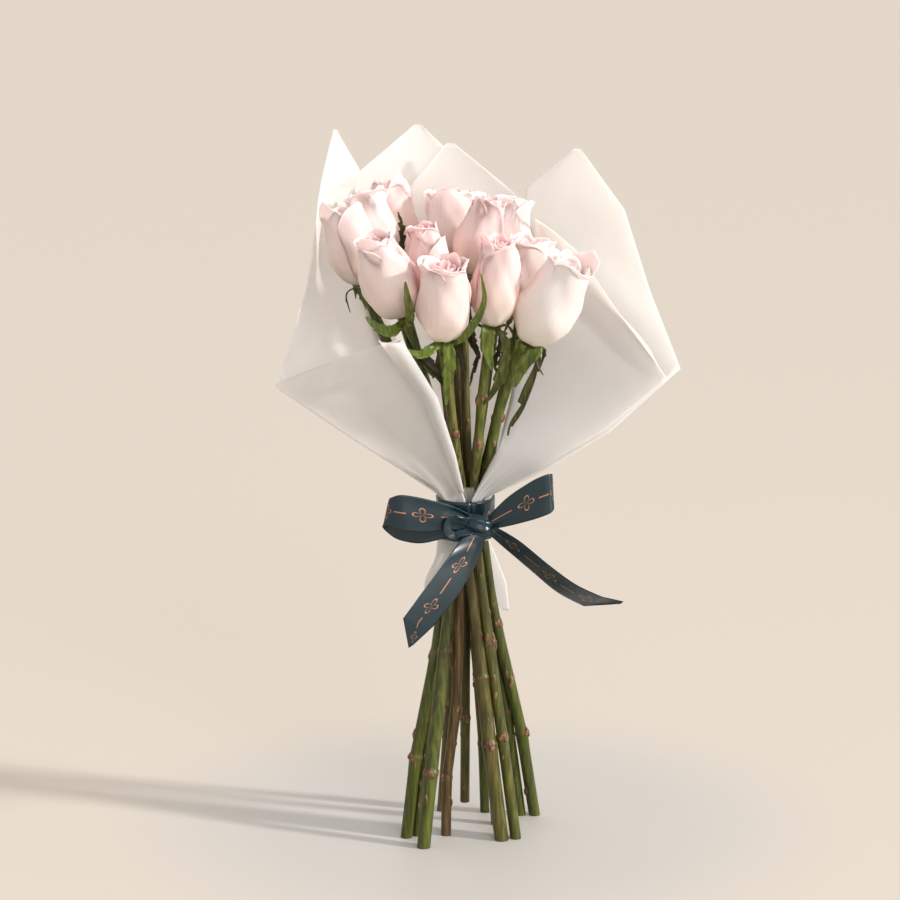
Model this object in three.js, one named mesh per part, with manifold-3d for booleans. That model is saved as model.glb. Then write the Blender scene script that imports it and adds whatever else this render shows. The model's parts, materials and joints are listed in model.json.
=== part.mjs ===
// Hand-tied bunch of twelve roses in a paper wrap with a satin ribbon.
// Millimetres, +Z up, front towards -Y. The cut ends of the splayed stems stand on z = 0.
import * as THREE from 'three';
import ManifoldModule from 'manifold-3d';

const manifoldLibrary = await ManifoldModule();
manifoldLibrary.setup();
const { Manifold, Mesh: ManifoldMesh } = manifoldLibrary;

// ---------------------------------------------------------------- driving dimensions

const TIE_Z = 205;                 // height of the middle of the ribbon band
const TIE_CENTRE = new THREE.Vector2(-6, 0);
const BAND_HEIGHT = 25;            // width of the satin ribbon
const BAND_BOTTOM_Z = TIE_Z - BAND_HEIGHT / 2;
const BAND_TOP_Z = TIE_Z + BAND_HEIGHT / 2;
const RIBBON_THICKNESS = 0.7;
const PAPER_THICKNESS = 0.6;
const TOUCH_GAP = 0.3;             // clearance left between pieces that touch

const STEM_RADIUS = 2.95;          // at and above the tie
const TAPER = [60, 165];           // each stem thins from its cut end's radius between these heights
const OUTER_SLOT_RADIUS = 10;      // nine stems round the tie
const INNER_SLOT_RADIUS = 3.7;     // three stems in the middle of it
const TAPE_RADIUS = 13.9;          // inner radius of the clear tape round the stems
const TAPE_THICKNESS = 0.6;
const TAPE_BOTTOM_Z = 212;
const TAPE_TOP_Z = 226;
const PLY_RADIUS = 15;             // inner radius of the innermost paper ply at the tie
const PLY_STEP = PAPER_THICKNESS + TOUCH_GAP;
const BAND_RADIUS = PLY_RADIUS + 3 * PLY_STEP;

const BUNCH_SHIFT = new THREE.Vector3(-1.5, -14, 0); // brings the middle of the outline over the origin

// Each rose: base and tip of its bloom, belly radius, the flare of its rim, the cut end of
// its stem, the stem's radius there and the angle of its place round the tie.
const ROSES = [
  {
    name: 'a', base: [-68, 0, 350], tip: [-83, 0, 398], belly: 15, flare: 2.0,
    foot: [-43, -17, 0], footRadius: 3.8, slot: 182,
  },
  {
    name: 'b', base: [-56, 28, 359], tip: [-69, 31, 404], belly: 14.3, flare: 1.6,
    foot: [-6, 17, 12], footRadius: 3.0, inner: 120,
  },
  {
    name: 'c', base: [-50, 55, 356], tip: [-54, 60, 408], belly: 16, flare: 2.0,
    foot: [-37, -13, 0], footRadius: 3.4, slot: 142,
  },
  {
    name: 'd', base: [-43, -30, 336], tip: [-62, -44, 387], belly: 17.5, flare: 2.4,
    foot: [-32, -36, 0], footRadius: 4.3, slot: 222,
    raisedSepal: -62,
    leaf: {
      root: [-35, -23, 306], tip: [-26, -31, 280], bow: [0, 0, 2.5], across: [0.7, -0.5, 0.5], width: 1,
    },
  },
  {
    name: 'e', base: [-26, -2, 343], tip: [-33, -8, 390], belly: 14.3, flare: 1.8,
    foot: [-18, -13, 0], footRadius: 3.4, inner: 240,
  },
  {
    name: 'f', base: [-19, -38, 322], tip: [-19, -51, 373], belly: 15.8, flare: 1.6,
    foot: [17, -22, 0], footRadius: 4.5, slot: 262,
  },
  {
    name: 'g', base: [-14, 41, 356], tip: [-16, 45, 405], belly: 14.8, flare: 1.6,
    foot: [-21, 34, 0], footRadius: 3.1, slot: 102,
  },
  {
    name: 'h', base: [-4, 12, 354], tip: [10, 9, 404], belly: 14.8, flare: 1.6,
    foot: [14, 8, 0], footRadius: 3.2, inner: 0,
  },
  {
    name: 'i', base: [17, 45, 350], tip: [24, 48, 398], belly: 14.8, flare: 1.6,
    foot: [7, 32, 0], footRadius: 3.1, slot: 62,
  },
  {
    name: 'j', base: [9, -33, 330], tip: [15, -41, 386], belly: 15, flare: 1.8,
    foot: [26, -19, 0], footRadius: 3.5, slot: 302,
    raisedSepal: 222,
  },
  {
    name: 'k', base: [28, 7, 332], tip: [35, 3, 379], belly: 14.8, flare: 2.2,
    foot: [30, 26, 0], footRadius: 3.5, slot: 22,
  },
  {
    name: 'l', base: [31, -27, 319], tip: [59, -40, 371], belly: 18.6, flare: 2.6,
    foot: [39, 26, 0], footRadius: 3.6, slot: 342,
    leaf: {
      root: [32, -27, 315.5], tip: [19, -21, 261], bow: [5, -1, 0], across: [0.97, 0.1, -0.21], width: 0.6,
    },
  },
];

// ---------------------------------------------------------------- colours and finish

const finish = (color, roughness, opacity = 1) => new THREE.MeshStandardMaterial(
  { color, roughness, metalness: 0, opacity, transparent: opacity < 1 });
const PETAL_FINISH = finish(0xf3d9d2, 0.6);
const GREEN_FINISH = finish(0x5c6b2a, 0.55);
const PAPER_FINISH = finish(0xf0ebe4, 0.7);
const RIBBON_FINISH = finish(0x1d3038, 0.35);
const TAPE_FINISH = finish(0xe8e6df, 0.2, 0.5);

// ---------------------------------------------------------------- small helpers

const vec = (x, y, z) => new THREE.Vector3(x, y, z);
const UP = vec(0, 0, 1);
const radians = THREE.MathUtils.degToRad;
const lerp = THREE.MathUtils.lerp;

function seededRandom(seed) {
  let state = seed;
  return () => {
    state = (state * 1664525 + 1013904223) % 4294967296;
    return state / 4294967296;
  };
}

function polar(radius, degrees, z) {
  return vec(radius * Math.cos(radians(degrees)), radius * Math.sin(radians(degrees)), z);
}

function aroundTie(radius, degrees, z) {
  return polar(radius, degrees, z).add(vec(TIE_CENTRE.x, TIE_CENTRE.y, 0));
}

// Closed solid between two grids of points that share their rows and columns.
function slab(front, back) {
  const rows = front.length;
  const columns = front[0].length;
  const points = [...front.flat(), ...back.flat()];
  const faces = [];
  const at = (row, column, side) => side * rows * columns + row * columns + column;
  const quad = (a, b, c, d) => faces.push([a, b, c], [a, c, d]);
  for (let row = 0; row + 1 < rows; row++) {
    for (let column = 0; column + 1 < columns; column++) {
      quad(
        at(row, column, 0), at(row, column + 1, 0),
        at(row + 1, column + 1, 0), at(row + 1, column, 0),
      );
      faces.push([at(row, column, 1), at(row + 1, column + 1, 1), at(row, column + 1, 1)]);
      faces.push([at(row, column, 1), at(row + 1, column, 1), at(row + 1, column + 1, 1)]);
    }
    quad(at(row, 0, 1), at(row, 0, 0), at(row + 1, 0, 0), at(row + 1, 0, 1));
    const end = columns - 1;
    quad(at(row, end, 0), at(row, end, 1), at(row + 1, end, 1), at(row + 1, end, 0));
  }
  for (let column = 0; column + 1 < columns; column++) {
    quad(at(0, column, 1), at(0, column + 1, 1), at(0, column + 1, 0), at(0, column, 0));
    const top = rows - 1;
    quad(at(top, column, 0), at(top, column + 1, 0), at(top, column + 1, 1), at(top, column, 1));
  }
  return { points, faces };
}

// Closed solid of rings of points, each ring counter-clockwise seen from the last one.
function skin(rings) {
  const sides = rings[0].length;
  const points = rings.flat();
  const faces = [];
  for (let ring = 0; ring + 1 < rings.length; ring++) {
    for (let side = 0; side < sides; side++) {
      const a = ring * sides + side;
      const b = ring * sides + (side + 1) % sides;
      faces.push([a, b, b + sides], [a, b + sides, a + sides]);
    }
  }
  const last = (rings.length - 1) * sides;
  for (let side = 1; side + 1 < sides; side++) {
    faces.push([0, side + 1, side], [last, last + side, last + side + 1]);
  }
  return { points, faces };
}

function toManifold({ points, faces }) {
  return new Manifold(new ManifoldMesh({
    numProp: 3,
    vertProperties: new Float32Array(points.flatMap((point) => [point.x, point.y, point.z])),
    triVerts: new Uint32Array(faces.flat()),
  }));
}

function toGeometry(solid) {
  const mesh = solid.getMesh();
  const geometry = new THREE.BufferGeometry();
  geometry.setAttribute('position', new THREE.BufferAttribute(new Float32Array(mesh.vertProperties), 3));
  geometry.setIndex(new THREE.BufferAttribute(new Uint32Array(mesh.triVerts), 1));
  geometry.computeVertexNormals();
  return geometry;
}

// One body of all the solids, with any pocket shut in between them filled.
function fuse(solids) {
  const shells = Manifold.union(solids.map(toManifold)).decompose();
  return toGeometry(Manifold.union(shells.filter((shell) => shell.volume() > 0)));
}

const bunch = new THREE.Group();
bunch.position.copy(BUNCH_SHIFT);

function place(name, geometry, material) {
  const mesh = new THREE.Mesh(geometry, material);
  mesh.name = name;
  bunch.add(mesh);
  return mesh;
}

// ---------------------------------------------------------------- blooms

const OUTER_PETALS = 5;
const INNER_PETALS = 3;
const PETAL_COLUMNS = [-0.97, -0.4, 0.4, 0.97];
const PETAL_STEP = 0.9;            // each edge stands this far out of, or under, its neighbour
const RIM_THICKNESS = 0.9;
const BLOOM_ROOT_RADIUS = 3.4;
const HEART_SHARE = 0.16;          // radius of the closed heart as a share of the belly
const BUD_WIDEST_AT = 0.4;         // share of the height where the bud is widest
const BUD_TOP_SHARE = 0.74;        // radius of the mouth as a share of the belly

// Radius of the bud at the share v of its height, before any petal leaves it.
function budRadius(belly, v) {
  if (v < BUD_WIDEST_AT) {
    return belly * Math.sin((Math.PI / 2) * (v / BUD_WIDEST_AT)) ** 0.5;
  }
  const share = THREE.MathUtils.smoothstep(v, BUD_WIDEST_AT, 1);
  return belly * lerp(1, BUD_TOP_SHARE, share);
}

// A half-open bloom as one closed skin: five outer petals wound over each other round the
// bud, their rims turned out, and inside the cup a tighter coil of three.
function bloomSkin(rose, height, random) {
  const { belly, flare } = rose;
  const firstTurn = 360 * random();
  const rimDrops = Array.from({ length: OUTER_PETALS }, () => 0.07 * random());
  const rimFlares = Array.from({ length: OUTER_PETALS }, () => flare * (0.5 + 0.9 * random()));
  const columns = [];
  for (let index = 0; index < OUTER_PETALS; index++) {
    for (const u of PETAL_COLUMNS) {
      columns.push({ u, angle: firstTurn + (index + 0.5 + 0.5 * u) * (360 / OUTER_PETALS), petal: index });
    }
  }
  const outer = (v, { u, angle, petal }, inset) => {
    const rim = Math.max(0, (v - 0.6) / 0.4) ** 2;
    const step = PETAL_STEP * Math.min(1, v * 4);
    const radius = budRadius(belly - step, v) + step * u + rimFlares[petal] * rim - inset;
    const drop = (0.09 * Math.abs(u) ** 3 + rimDrops[petal]) * v * v;
    return polar(radius, angle, height * v * (1 - drop) - 0.3 * inset);
  };
  const inner = (v, { angle }, share) => {
    const around = (((angle - firstTurn) * INNER_PETALS) / 360 + 0.4) % 1;
    const radius = share * belly * (1 + 0.22 * (around - 0.5));
    return polar(radius, angle + 8, height * (v - 0.07 * Math.abs(2 * around - 1) ** 3));
  };
  return skin([
    columns.map(({ angle }) => polar(BLOOM_ROOT_RADIUS, angle, 0)),
    columns.map((column) => outer(0.09, column, 0)),
    columns.map((column) => outer(0.28, column, 0)),
    columns.map((column) => outer(0.56, column, 0)),
    columns.map((column) => outer(0.82, column, 0)),
    columns.map((column) => outer(1, column, 0)),
    columns.map((column) => outer(0.995, column, RIM_THICKNESS)),
    columns.map((column) => outer(0.76, column, 2.4)),
    columns.map((column) => inner(0.78, column, 0.56)),
    columns.map((column) => inner(1.02, column, 0.5)),
    columns.map((column) => inner(1.0, column, 0.4)),
    columns.map(({ angle }) => polar(HEART_SHARE * belly, angle, 0.86 * height)),
  ]);
}

// ---------------------------------------------------------------- stems

const STEM_LEVELS = [0, 45, 90, 130, 155, 172, 185, 195, 205, 215, 227, 243, 265, 292, 320];
const STEM_SIDES = 6;
const RECEPTACLE_LENGTH = 12;
const RECEPTACLE_RINGS = [[RECEPTACLE_LENGTH, STEM_RADIUS], [6, 3.2], [2.6, 5], [TOUCH_GAP, 4.6]];
const NODE_SWELLING = 1.16;
const THORNS = 2;
const SETTLE_ROUNDS = 160;
const SETTLE_GAP = 0.42;
const SMOOTHING = 0.12;

// Cubic from start to end in the share t, with the given rise-scaled tangents.
function hermite(start, startSlope, end, endSlope, t) {
  const t2 = t * t;
  const t3 = t2 * t;
  return start.clone().multiplyScalar(2 * t3 - 3 * t2 + 1)
    .addScaledVector(startSlope, t3 - 2 * t2 + t)
    .addScaledVector(end, 3 * t2 - 2 * t3)
    .addScaledVector(endSlope, t3 - t2);
}

// Centre line of a stem before its neighbours push it: straight from the cut end to the
// tie, then bending until it follows the axis of its bloom.
function firstRoute(rose) {
  const foot = vec(...rose.foot);
  const base = vec(...rose.base);
  const tie = rose.inner === undefined
    ? aroundTie(OUTER_SLOT_RADIUS, rose.slot, TIE_Z)
    : aroundTie(INNER_SLOT_RADIUS, rose.inner, TIE_Z);
  const axis = vec(...rose.tip).sub(base).normalize();
  const end = base.clone().addScaledVector(axis, -RECEPTACLE_LENGTH);
  const across = base.clone().sub(foot).divideScalar(base.z - foot.z);
  const upperRise = end.z - tie.z;
  const lowerRise = tie.z - foot.z;
  const levels = [foot.z, ...STEM_LEVELS.filter((z) => z > foot.z + 5 && z < end.z - 8), end.z];
  return levels.map((z) => {
    if (z <= tie.z) {
      const t = (z - foot.z) / lowerRise;
      return hermite(foot, tie.clone().sub(foot), tie, across.clone().multiplyScalar(lowerRise), t);
    }
    const t = (z - tie.z) / upperRise;
    return hermite(tie, across.clone().multiplyScalar(upperRise), end,
      axis.clone().multiplyScalar(upperRise / axis.z), t);
  });
}

function stemRadius(rose, z) {
  return lerp(rose.footRadius, STEM_RADIUS, THREE.MathUtils.smoothstep(z, ...TAPER));
}

// Radius of the level cut through a leaning stem.
function levelRadius(rose, route, index) {
  const below = route[Math.max(0, index - 1)];
  const above = route[Math.min(route.length - 1, index + 1)];
  const lean = above.clone().sub(below).normalize();
  return stemRadius(rose, route[index].z) / Math.max(0.8, lean.z);
}

// Neighbours at the same height push each other apart, and the tape holds them together.
function settleRoutes(routes) {
  for (let round = 0; round < SETTLE_ROUNDS; round++) {
    for (const z of STEM_LEVELS) {
      const here = [];
      routes.forEach((route, stem) => {
        const index = route.findIndex((point) => Math.abs(point.z - z) < 1e-6);
        if (index > 0 && index < route.length - 1) {
          here.push({ point: route[index], radius: levelRadius(ROSES[stem], route, index) });
        }
      });
      for (let a = 0; a < here.length; a++) {
        for (let b = a + 1; b < here.length; b++) {
          const apart = here[b].point.clone().sub(here[a].point);
          const missing = here[a].radius + here[b].radius + SETTLE_GAP - apart.length();
          if (missing > 0) {
            apart.setLength(missing / 2);
            here[b].point.add(apart);
            here[a].point.sub(apart);
          }
        }
      }
      if (z > TIE_Z - 15 && z < TAPE_TOP_Z + 2) {
        for (const { point, radius } of here) {
          const fromCentre = vec(point.x - TIE_CENTRE.x, point.y - TIE_CENTRE.y, 0);
          const excess = fromCentre.length() - (TAPE_RADIUS - TOUCH_GAP - radius);
          if (excess > 0) {
            point.addScaledVector(fromCentre.normalize(), -excess / 2);
          }
        }
      }
    }
    if (round < SETTLE_ROUNDS / 2) {
      smoothRoutes(routes);
    }
  }
}

function smoothRoutes(routes) {
  for (const route of routes) {
    for (let index = 1; index + 1 < route.length; index++) {
      const below = route[index - 1];
      const above = route[index + 1];
      const share = (route[index].z - below.z) / (above.z - below.z);
      route[index].lerp(below.clone().lerp(above, share), SMOOTHING);
    }
  }
}

function ringOf(centre, axis, radius, turn) {
  const aim = new THREE.Quaternion().setFromUnitVectors(UP, axis);
  return Array.from({ length: STEM_SIDES }, (_, side) =>
    polar(radius, turn + side * (360 / STEM_SIDES), 0).applyQuaternion(aim).add(centre));
}

function stemTube(rose, route, random) {
  const turn = 60 * random();
  const nodeLevel = 1 + Math.floor(2.99 * random());
  const rings = route.slice(0, -1).map((point, index) => {
    const swelling = index === nodeLevel ? NODE_SWELLING : 1;
    return ringOf(point, UP, levelRadius(rose, route, index) * swelling, turn);
  });
  const base = vec(...rose.base);
  const axis = vec(...rose.tip).sub(base).normalize();
  for (const [back, radius] of RECEPTACLE_RINGS) {
    rings.push(ringOf(base.clone().addScaledVector(axis, -back), axis, radius, turn));
  }
  return skin(rings);
}

// A thorn: a four-sided spike that leans down a little.
function thorn(centre, outward, size) {
  const side = outward.clone().cross(UP).normalize();
  const root = centre.clone().addScaledVector(outward, STEM_RADIUS - 1.6);
  const tip = centre.clone().addScaledVector(outward, STEM_RADIUS + size).addScaledVector(UP, -0.35 * size);
  const ring = (middle, scale) => [
    middle.clone().addScaledVector(side, 1.1 * scale),
    middle.clone().addScaledVector(UP, 1.9 * scale),
    middle.clone().addScaledVector(side, -1.1 * scale),
    middle.clone().addScaledVector(UP, -1.9 * scale),
  ];
  return skin([ring(root, 1), ring(tip, 0.12)].map((points) => points.reverse()).reverse());
}

// A blade with a cut edge along a spine: half widths follow the rows, teeth included.
function blade(spine, across, halfWidths, thickness) {
  const grids = [0.5, -0.5].map((side) => spine.map((point, row) => {
    const ahead = spine[Math.min(row + 1, spine.length - 1)];
    const behind = spine[Math.max(row - 1, 0)];
    const normal = across.clone().cross(ahead.clone().sub(behind)).normalize();
    return [-1, 1].map((u) => point.clone()
      .addScaledVector(across, u * halfWidths[row])
      .addScaledVector(normal, side * thickness));
  }));
  return slab(grids[0], grids[1]);
}

const SEPAL_SHARES = [0, 0.25, 0.5, 0.66, 1];
const SEPAL_WIDTHS = [1.7, 3.3, 1.7, 2.6, 0.4];
const SEPAL_ROOT = 2.4;            // how far below the bloom the sepals leave the receptacle

// A sepal with cut side lobes. Most bend down along the stem, and one may stand up along
// the bud instead.
function sepal(rose, { turn, length, raised }) {
  const base = vec(...rose.base);
  const reach = vec(...rose.tip).sub(base);
  const axis = reach.clone().normalize();
  const outward = polar(1, turn, 0).applyQuaternion(new THREE.Quaternion().setFromUnitVectors(UP, axis));
  const across = outward.clone().cross(axis).normalize();
  const spine = SEPAL_SHARES.map((share) => {
    const bend = Math.min(1, share * 2.2);
    const bowed = SEPAL_ROOT + 3.6 * Math.sin((bend * Math.PI) / 2) + 0.1 * length * share;
    const clear = budRadius(rose.belly, (length * share) / reach.length()) + 1.6;
    const out = raised && share > 0 ? clear : bowed;
    const rise = raised ? length * share : -length * share * Math.sin(radians(80) * bend);
    return base.clone()
      .addScaledVector(axis, rise - SEPAL_ROOT)
      .addScaledVector(outward, share > 0 ? out : SEPAL_ROOT);
  });
  return blade(spine, across, SEPAL_WIDTHS, 0.7);
}

const LEAF_SHARES = [0, 0.14, 0.28, 0.42, 0.56, 0.7, 0.85, 1];
const LEAF_WIDTHS = [0.5, 2.6, 4.4, 3.9, 4.9, 3.2, 2.4, 0.4];

// A dark leaf with a toothed edge, hanging from its stem and bowed in the middle.
function leaf({ root, tip, across, bow, width }) {
  const spine = LEAF_SHARES.map((share) => vec(...root).lerp(vec(...tip), share)
    .addScaledVector(vec(...bow), 4 * share * (1 - share)));
  return blade(spine, vec(...across).normalize(), LEAF_WIDTHS.map((half) => half * width), 0.8);
}

function stemSolids(rose, route, random) {
  const solids = [stemTube(rose, route, random)];
  for (let row = 1; row <= THORNS; row++) {
    const centre = route[row].clone().lerp(route[row + 1], random());
    const aside = radians(60 * (random() - 0.5));
    const outward = vec(centre.x, centre.y, 0).normalize().applyAxisAngle(UP, aside);
    solids.push(thorn(centre, outward, 2.2 + random()));
  }
  const firstTurn = rose.raisedSepal ?? 360 * random();
  for (let index = 0; index < 5; index++) {
    const raised = index === 0 && rose.raisedSepal !== undefined;
    const length = (raised ? 15 : 20) + 8 * random();
    solids.push(sepal(rose, { turn: firstTurn + 72 * index, length, raised }));
  }
  if (rose.leaf) {
    solids.push(leaf(rose.leaf));
  }
  return solids;
}

// ---------------------------------------------------------------- paper wrap

const PLY_COLUMNS = [0, 0.2, 0.4, 0.6, 0.8, 1];

// A ply of paper: the arc it takes round the stems at the tie, and rows above it (and in
// the skirt below it) that each name its two edge points and its bulge away from the bunch.
function paperPly({ layer, arc, skirt, rows }) {
  const radius = PLY_RADIUS + layer * PLY_STEP + PAPER_THICKNESS / 2;
  const neck = (z) => PLY_COLUMNS.map((share) => aroundTie(radius, lerp(arc[0], arc[1], share), z));
  const spread = ([left, right, bulge]) => {
    const from = vec(...left);
    const to = vec(...right);
    const centre = from.clone().lerp(to, 0.5);
    const outward = vec(centre.x, centre.y, 0).normalize();
    return PLY_COLUMNS.map((share) => from.clone().lerp(to, share)
      .addScaledVector(outward, 4 * bulge * share * (1 - share)));
  };
  const necks = [neck(BAND_BOTTOM_Z - 1), neck(BAND_TOP_Z + 1)];
  return offsetSheet([...skirt.map(spread), ...necks, ...rows.map(spread)], PAPER_THICKNESS);
}

// The front edge of the left ply curls over towards the front as a slim scroll.
function paperScroll({ centres, radii, turns }) {
  const grid = centres.map((centre, row) => Array.from({ length: 6 }, (_, column) => {
    const angle = radians(lerp(turns[0], turns[1], column / 5));
    return vec(...centre).add(vec(radii[row] * Math.cos(angle), radii[row] * Math.sin(angle), 0));
  }));
  return offsetSheet(grid, PAPER_THICKNESS);
}

// Gives a grid of points a thickness, half to each side along the local normal.
function offsetSheet(grid, thickness) {
  const rows = grid.length;
  const columns = grid[0].length;
  const offset = (side) => grid.map((points, row) => points.map((point, column) => {
    const above = grid[Math.min(row + 1, rows - 1)][column];
    const below = grid[Math.max(row - 1, 0)][column];
    const right = points[Math.min(column + 1, columns - 1)];
    const left = points[Math.max(column - 1, 0)];
    const normal = right.clone().sub(left).cross(above.clone().sub(below)).normalize();
    return point.clone().addScaledVector(normal, side * thickness / 2);
  }));
  return slab(offset(1), offset(-1));
}

const PLIES = {
  wrap_left: {
    layer: 2, arc: [183, 270],
    skirt: [
      [[-28, 1, 147], [-25, -8, 147], 0],
      [[-31, 6, 160], [-24, -16, 160], 3],
      [[-24, 4, 178], [-15, -18, 178], 4],
    ],
    rows: [
      [[-45, -11, 236], [-15, -28, 246], 3],
      [[-78, -13, 258], [-26, -39, 280], 5],
      [[-123, -12, 290], [-46, -53, 326], 7],
      [[-113, 0, 320], [-70, -52, 342], 4],
      [[-104, 9, 345], [-92, -20, 362], 2],
      [[-99, 18, 378], [-92, 18, 386], 0],
      [[-97, 24, 398], [-84, 42, 402], 0],
      [[-95, 31, 411], [-73, 58, 413], 0],
      [[-88, 42, 441], [-86, 43, 440], 0],
    ],
    scroll: {
      centres: [[-8.5, -18.5, 224], [-15, -31, 250], [-28, -42, 288], [-51, -57, 326]],
      radii: [1.5, 3, 5, 7],
      turns: [70, -200],
    },
  },
  wrap_back_left: {
    layer: 1, arc: [180, 92], skirt: [],
    rows: [
      [[-46, 2, 242], [-4, 28, 242], 2],
      [[-76, 6, 265], [-4, 40, 265], 7],
      [[-106, 14, 302], [-3, 56, 302], 14],
      [[-103, 27, 346], [-3, 76, 346], 20],
      [[-91, 46, 380], [-8, 85, 384], 16],
      [[-71, 72, 407], [-17, 90, 422], 5],
      [[-38, 91, 438], [-34, 92, 438], 0],
    ],
  },
  wrap_back: {
    layer: 0, arc: [110, 34],
    skirt: [
      [[18, 25, 137], [22, 23, 137], 0],
      [[2, 27, 156], [20, 21, 156], 1],
      [[-7, 22, 178], [12, 16, 178], 3],
    ],
    rows: [
      [[-12, 40, 290], [22, 38, 290], 4],
      [[-36, 64, 362], [40, 58, 362], 6],
      [[-42, 74, 400], [32, 67, 392], 4],
      [[-18, 77, 428], [-13, 77, 428], 0],
    ],
  },
  wrap_right: {
    layer: 2, arc: [-46, 60], skirt: [],
    rows: [
      [[45, -15, 238], [14, 30, 262], 3],
      [[83, -13, 261], [28, 50, 306], 7],
      [[126, -6, 299], [34, 62, 346], 10],
      [[108, 16, 344], [30, 67, 376], 7],
      [[93, 38, 391], [32, 72, 400], 4],
      [[66, 56, 427], [62, 57, 427], 0],
    ],
  },
  wrap_right_inner: {
    layer: 1, arc: [-48, -76], skirt: [],
    rows: [
      [[42, -18, 240], [14, -16, 251], 0],
      [[80, -18, 263], [22, 2, 280], 3],
      [[118, -15, 294], [32, 40, 340], 8],
      [[90, 13, 329], [34, 48, 366], 5],
      [[62, 35, 367], [37, 52, 384], 2],
    ],
  },
};

// ---------------------------------------------------------------- tape and ribbon

function ringSolid(innerRadius, thickness, bottom, top, sides) {
  const outerRadius = innerRadius + thickness;
  const corners = [[innerRadius, bottom], [outerRadius, bottom], [outerRadius, top], [innerRadius, top]];
  const points = corners.flatMap(([radius, z]) =>
    Array.from({ length: sides }, (_, side) => aroundTie(radius, side * 360 / sides, z)));
  const faces = [];
  for (let corner = 0; corner < 4; corner++) {
    const ring = corner * sides;
    const nextRing = ((corner + 1) % 4) * sides;
    for (let side = 0; side < sides; side++) {
      const next = (side + 1) % sides;
      faces.push([ring + side, ring + next, nextRing + next]);
      faces.push([ring + side, nextRing + next, nextRing + side]);
    }
  }
  return { points, faces };
}

// A length of ribbon through lower and upper edge points, given in pairs.
function ribbonStrip(edges) {
  const grid = edges.map(([lower, upper]) => [vec(...lower), vec(...upper)]);
  return offsetSheet(grid, RIBBON_THICKNESS);
}

const KNOT_CENTRE = [4, -BAND_RADIUS - 4.5, 204];
const KNOT_RADII = [9, 6, 9];

const RIBBON_STRIPS = {
  leftLoop: [
    [[-2, -23, 200], [-1, -24, 210]],
    [[-14, -27.5, 202.5], [-13.7, -28, 217.5]],
    [[-29, -32, 202], [-29.6, -32, 223]],
    [[-43, -34.5, 203.5], [-43.6, -34, 226]],
    [[-52, -33, 205], [-50, -33.5, 226]],
    [[-57, -29.5, 202.5], [-52.5, -30, 225]],
    [[-52.5, -25.5, 197.5], [-50, -25.5, 222]],
    [[-45, -24.2, 194.5], [-44, -24, 218]],
    [[-33, -23, 192.8], [-33, -22.8, 216]],
    [[-18, -22.2, 196], [-17, -22, 214]],
    [[-2, -22, 200], [-2, -21.5, 210]],
  ],
  rightLoop: [
    [[8, -22.5, 201], [8, -23, 210]],
    [[22, -27, 205], [20, -27, 223]],
    [[34, -30, 209], [33, -30, 233]],
    [[45, -31, 213], [43, -31, 238]],
    [[48, -27, 215], [47, -27, 239]],
    [[40, -22, 212], [38, -22, 233]],
    [[26, -20, 208], [24, -20, 224]],
    [[9, -21, 202], [9, -21, 210]],
  ],
  curl: [
    [[2, -20, 204], [2, -28, 203]],
    [[-8, -22, 198], [-8, -31, 197]],
    [[-15, -23, 200], [-15, -32, 200]],
    [[-18, -23, 206], [-18, -32, 206]],
    [[-14, -23, 212], [-14, -32, 212]],
    [[-6, -22, 213], [-6, -31, 212]],
    [[2, -20, 206], [2, -29, 206]],
  ],
  leftTail: [
    [[-6, -25, 200], [7, -25, 199]],
    [[-20, -34, 182], [2, -32, 184]],
    [[-33, -42, 166], [-12, -42, 163]],
    [[-44, -47, 152], [-26, -48, 146]],
    [[-41, -50, 133], [-38, -50, 135]],
  ],
  rightTail: [
    [[7, -24, 200], [12, -24, 204]],
    [[20, -30, 190], [27, -30, 196]],
    [[35, -36, 178], [46, -37, 182]],
    [[51, -42, 166], [61, -42, 172]],
    [[67, -45, 158], [77, -44.5, 165]],
    [[88, -46, 161], [90, -46, 162.5]],
  ],
};

// The knot: a squat lump round the middle of the bow.
function knotSolid() {
  const sides = 8;
  return skin([-80, -45, 0, 45, 80].map((latitude) => Array.from({ length: sides }, (_, side) => {
    const around = polar(Math.cos(radians(latitude)), (side * 360) / sides, Math.sin(radians(latitude)));
    return around.multiply(vec(...KNOT_RADII)).add(vec(...KNOT_CENTRE));
  })));
}

// ---------------------------------------------------------------- the bunch

const routes = ROSES.map(firstRoute);
settleRoutes(routes);

ROSES.forEach((rose, index) => {
  const random = seededRandom(101 + 17 * index);
  const base = vec(...rose.base);
  const reach = vec(...rose.tip).sub(base);
  const skinned = fuse([bloomSkin(rose, reach.length(), random)]);
  const bloom = place(`rose_${rose.name}_bloom`, skinned, PETAL_FINISH);
  bloom.position.copy(base);
  bloom.quaternion.setFromUnitVectors(UP, reach.normalize());
  place(`rose_${rose.name}_stem`, fuse(stemSolids(rose, routes[index], random)), GREEN_FINISH);
});

for (const [name, ply] of Object.entries(PLIES)) {
  const solids = ply.scroll ? [paperPly(ply), paperScroll(ply.scroll)] : [paperPly(ply)];
  place(name, fuse(solids), PAPER_FINISH);
}

const TAPE_SIDES = 24;
const BAND_SIDES = 28;
const tape = ringSolid(TAPE_RADIUS, TAPE_THICKNESS, TAPE_BOTTOM_Z, TAPE_TOP_Z, TAPE_SIDES);
place('binding_tape', fuse([tape]), TAPE_FINISH);

const band = ringSolid(BAND_RADIUS, RIBBON_THICKNESS, BAND_BOTTOM_Z, BAND_TOP_Z, BAND_SIDES);
const strips = Object.values(RIBBON_STRIPS).map(ribbonStrip);
place('satin_ribbon', fuse([band, knotSolid(), ...strips]), RIBBON_FINISH);

export default bunch;
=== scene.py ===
# %% [markdown]
# # A hand-tied bunch of roses
#
# The bunch is twelve half-open roses, held by clear tape, wrapped in squares of white
# paper and tied with a dark satin ribbon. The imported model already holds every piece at
# its size and place, as plain solids. This lesson dresses each solid with a finer piece.

# %% Load the frame
import json
import math

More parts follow.
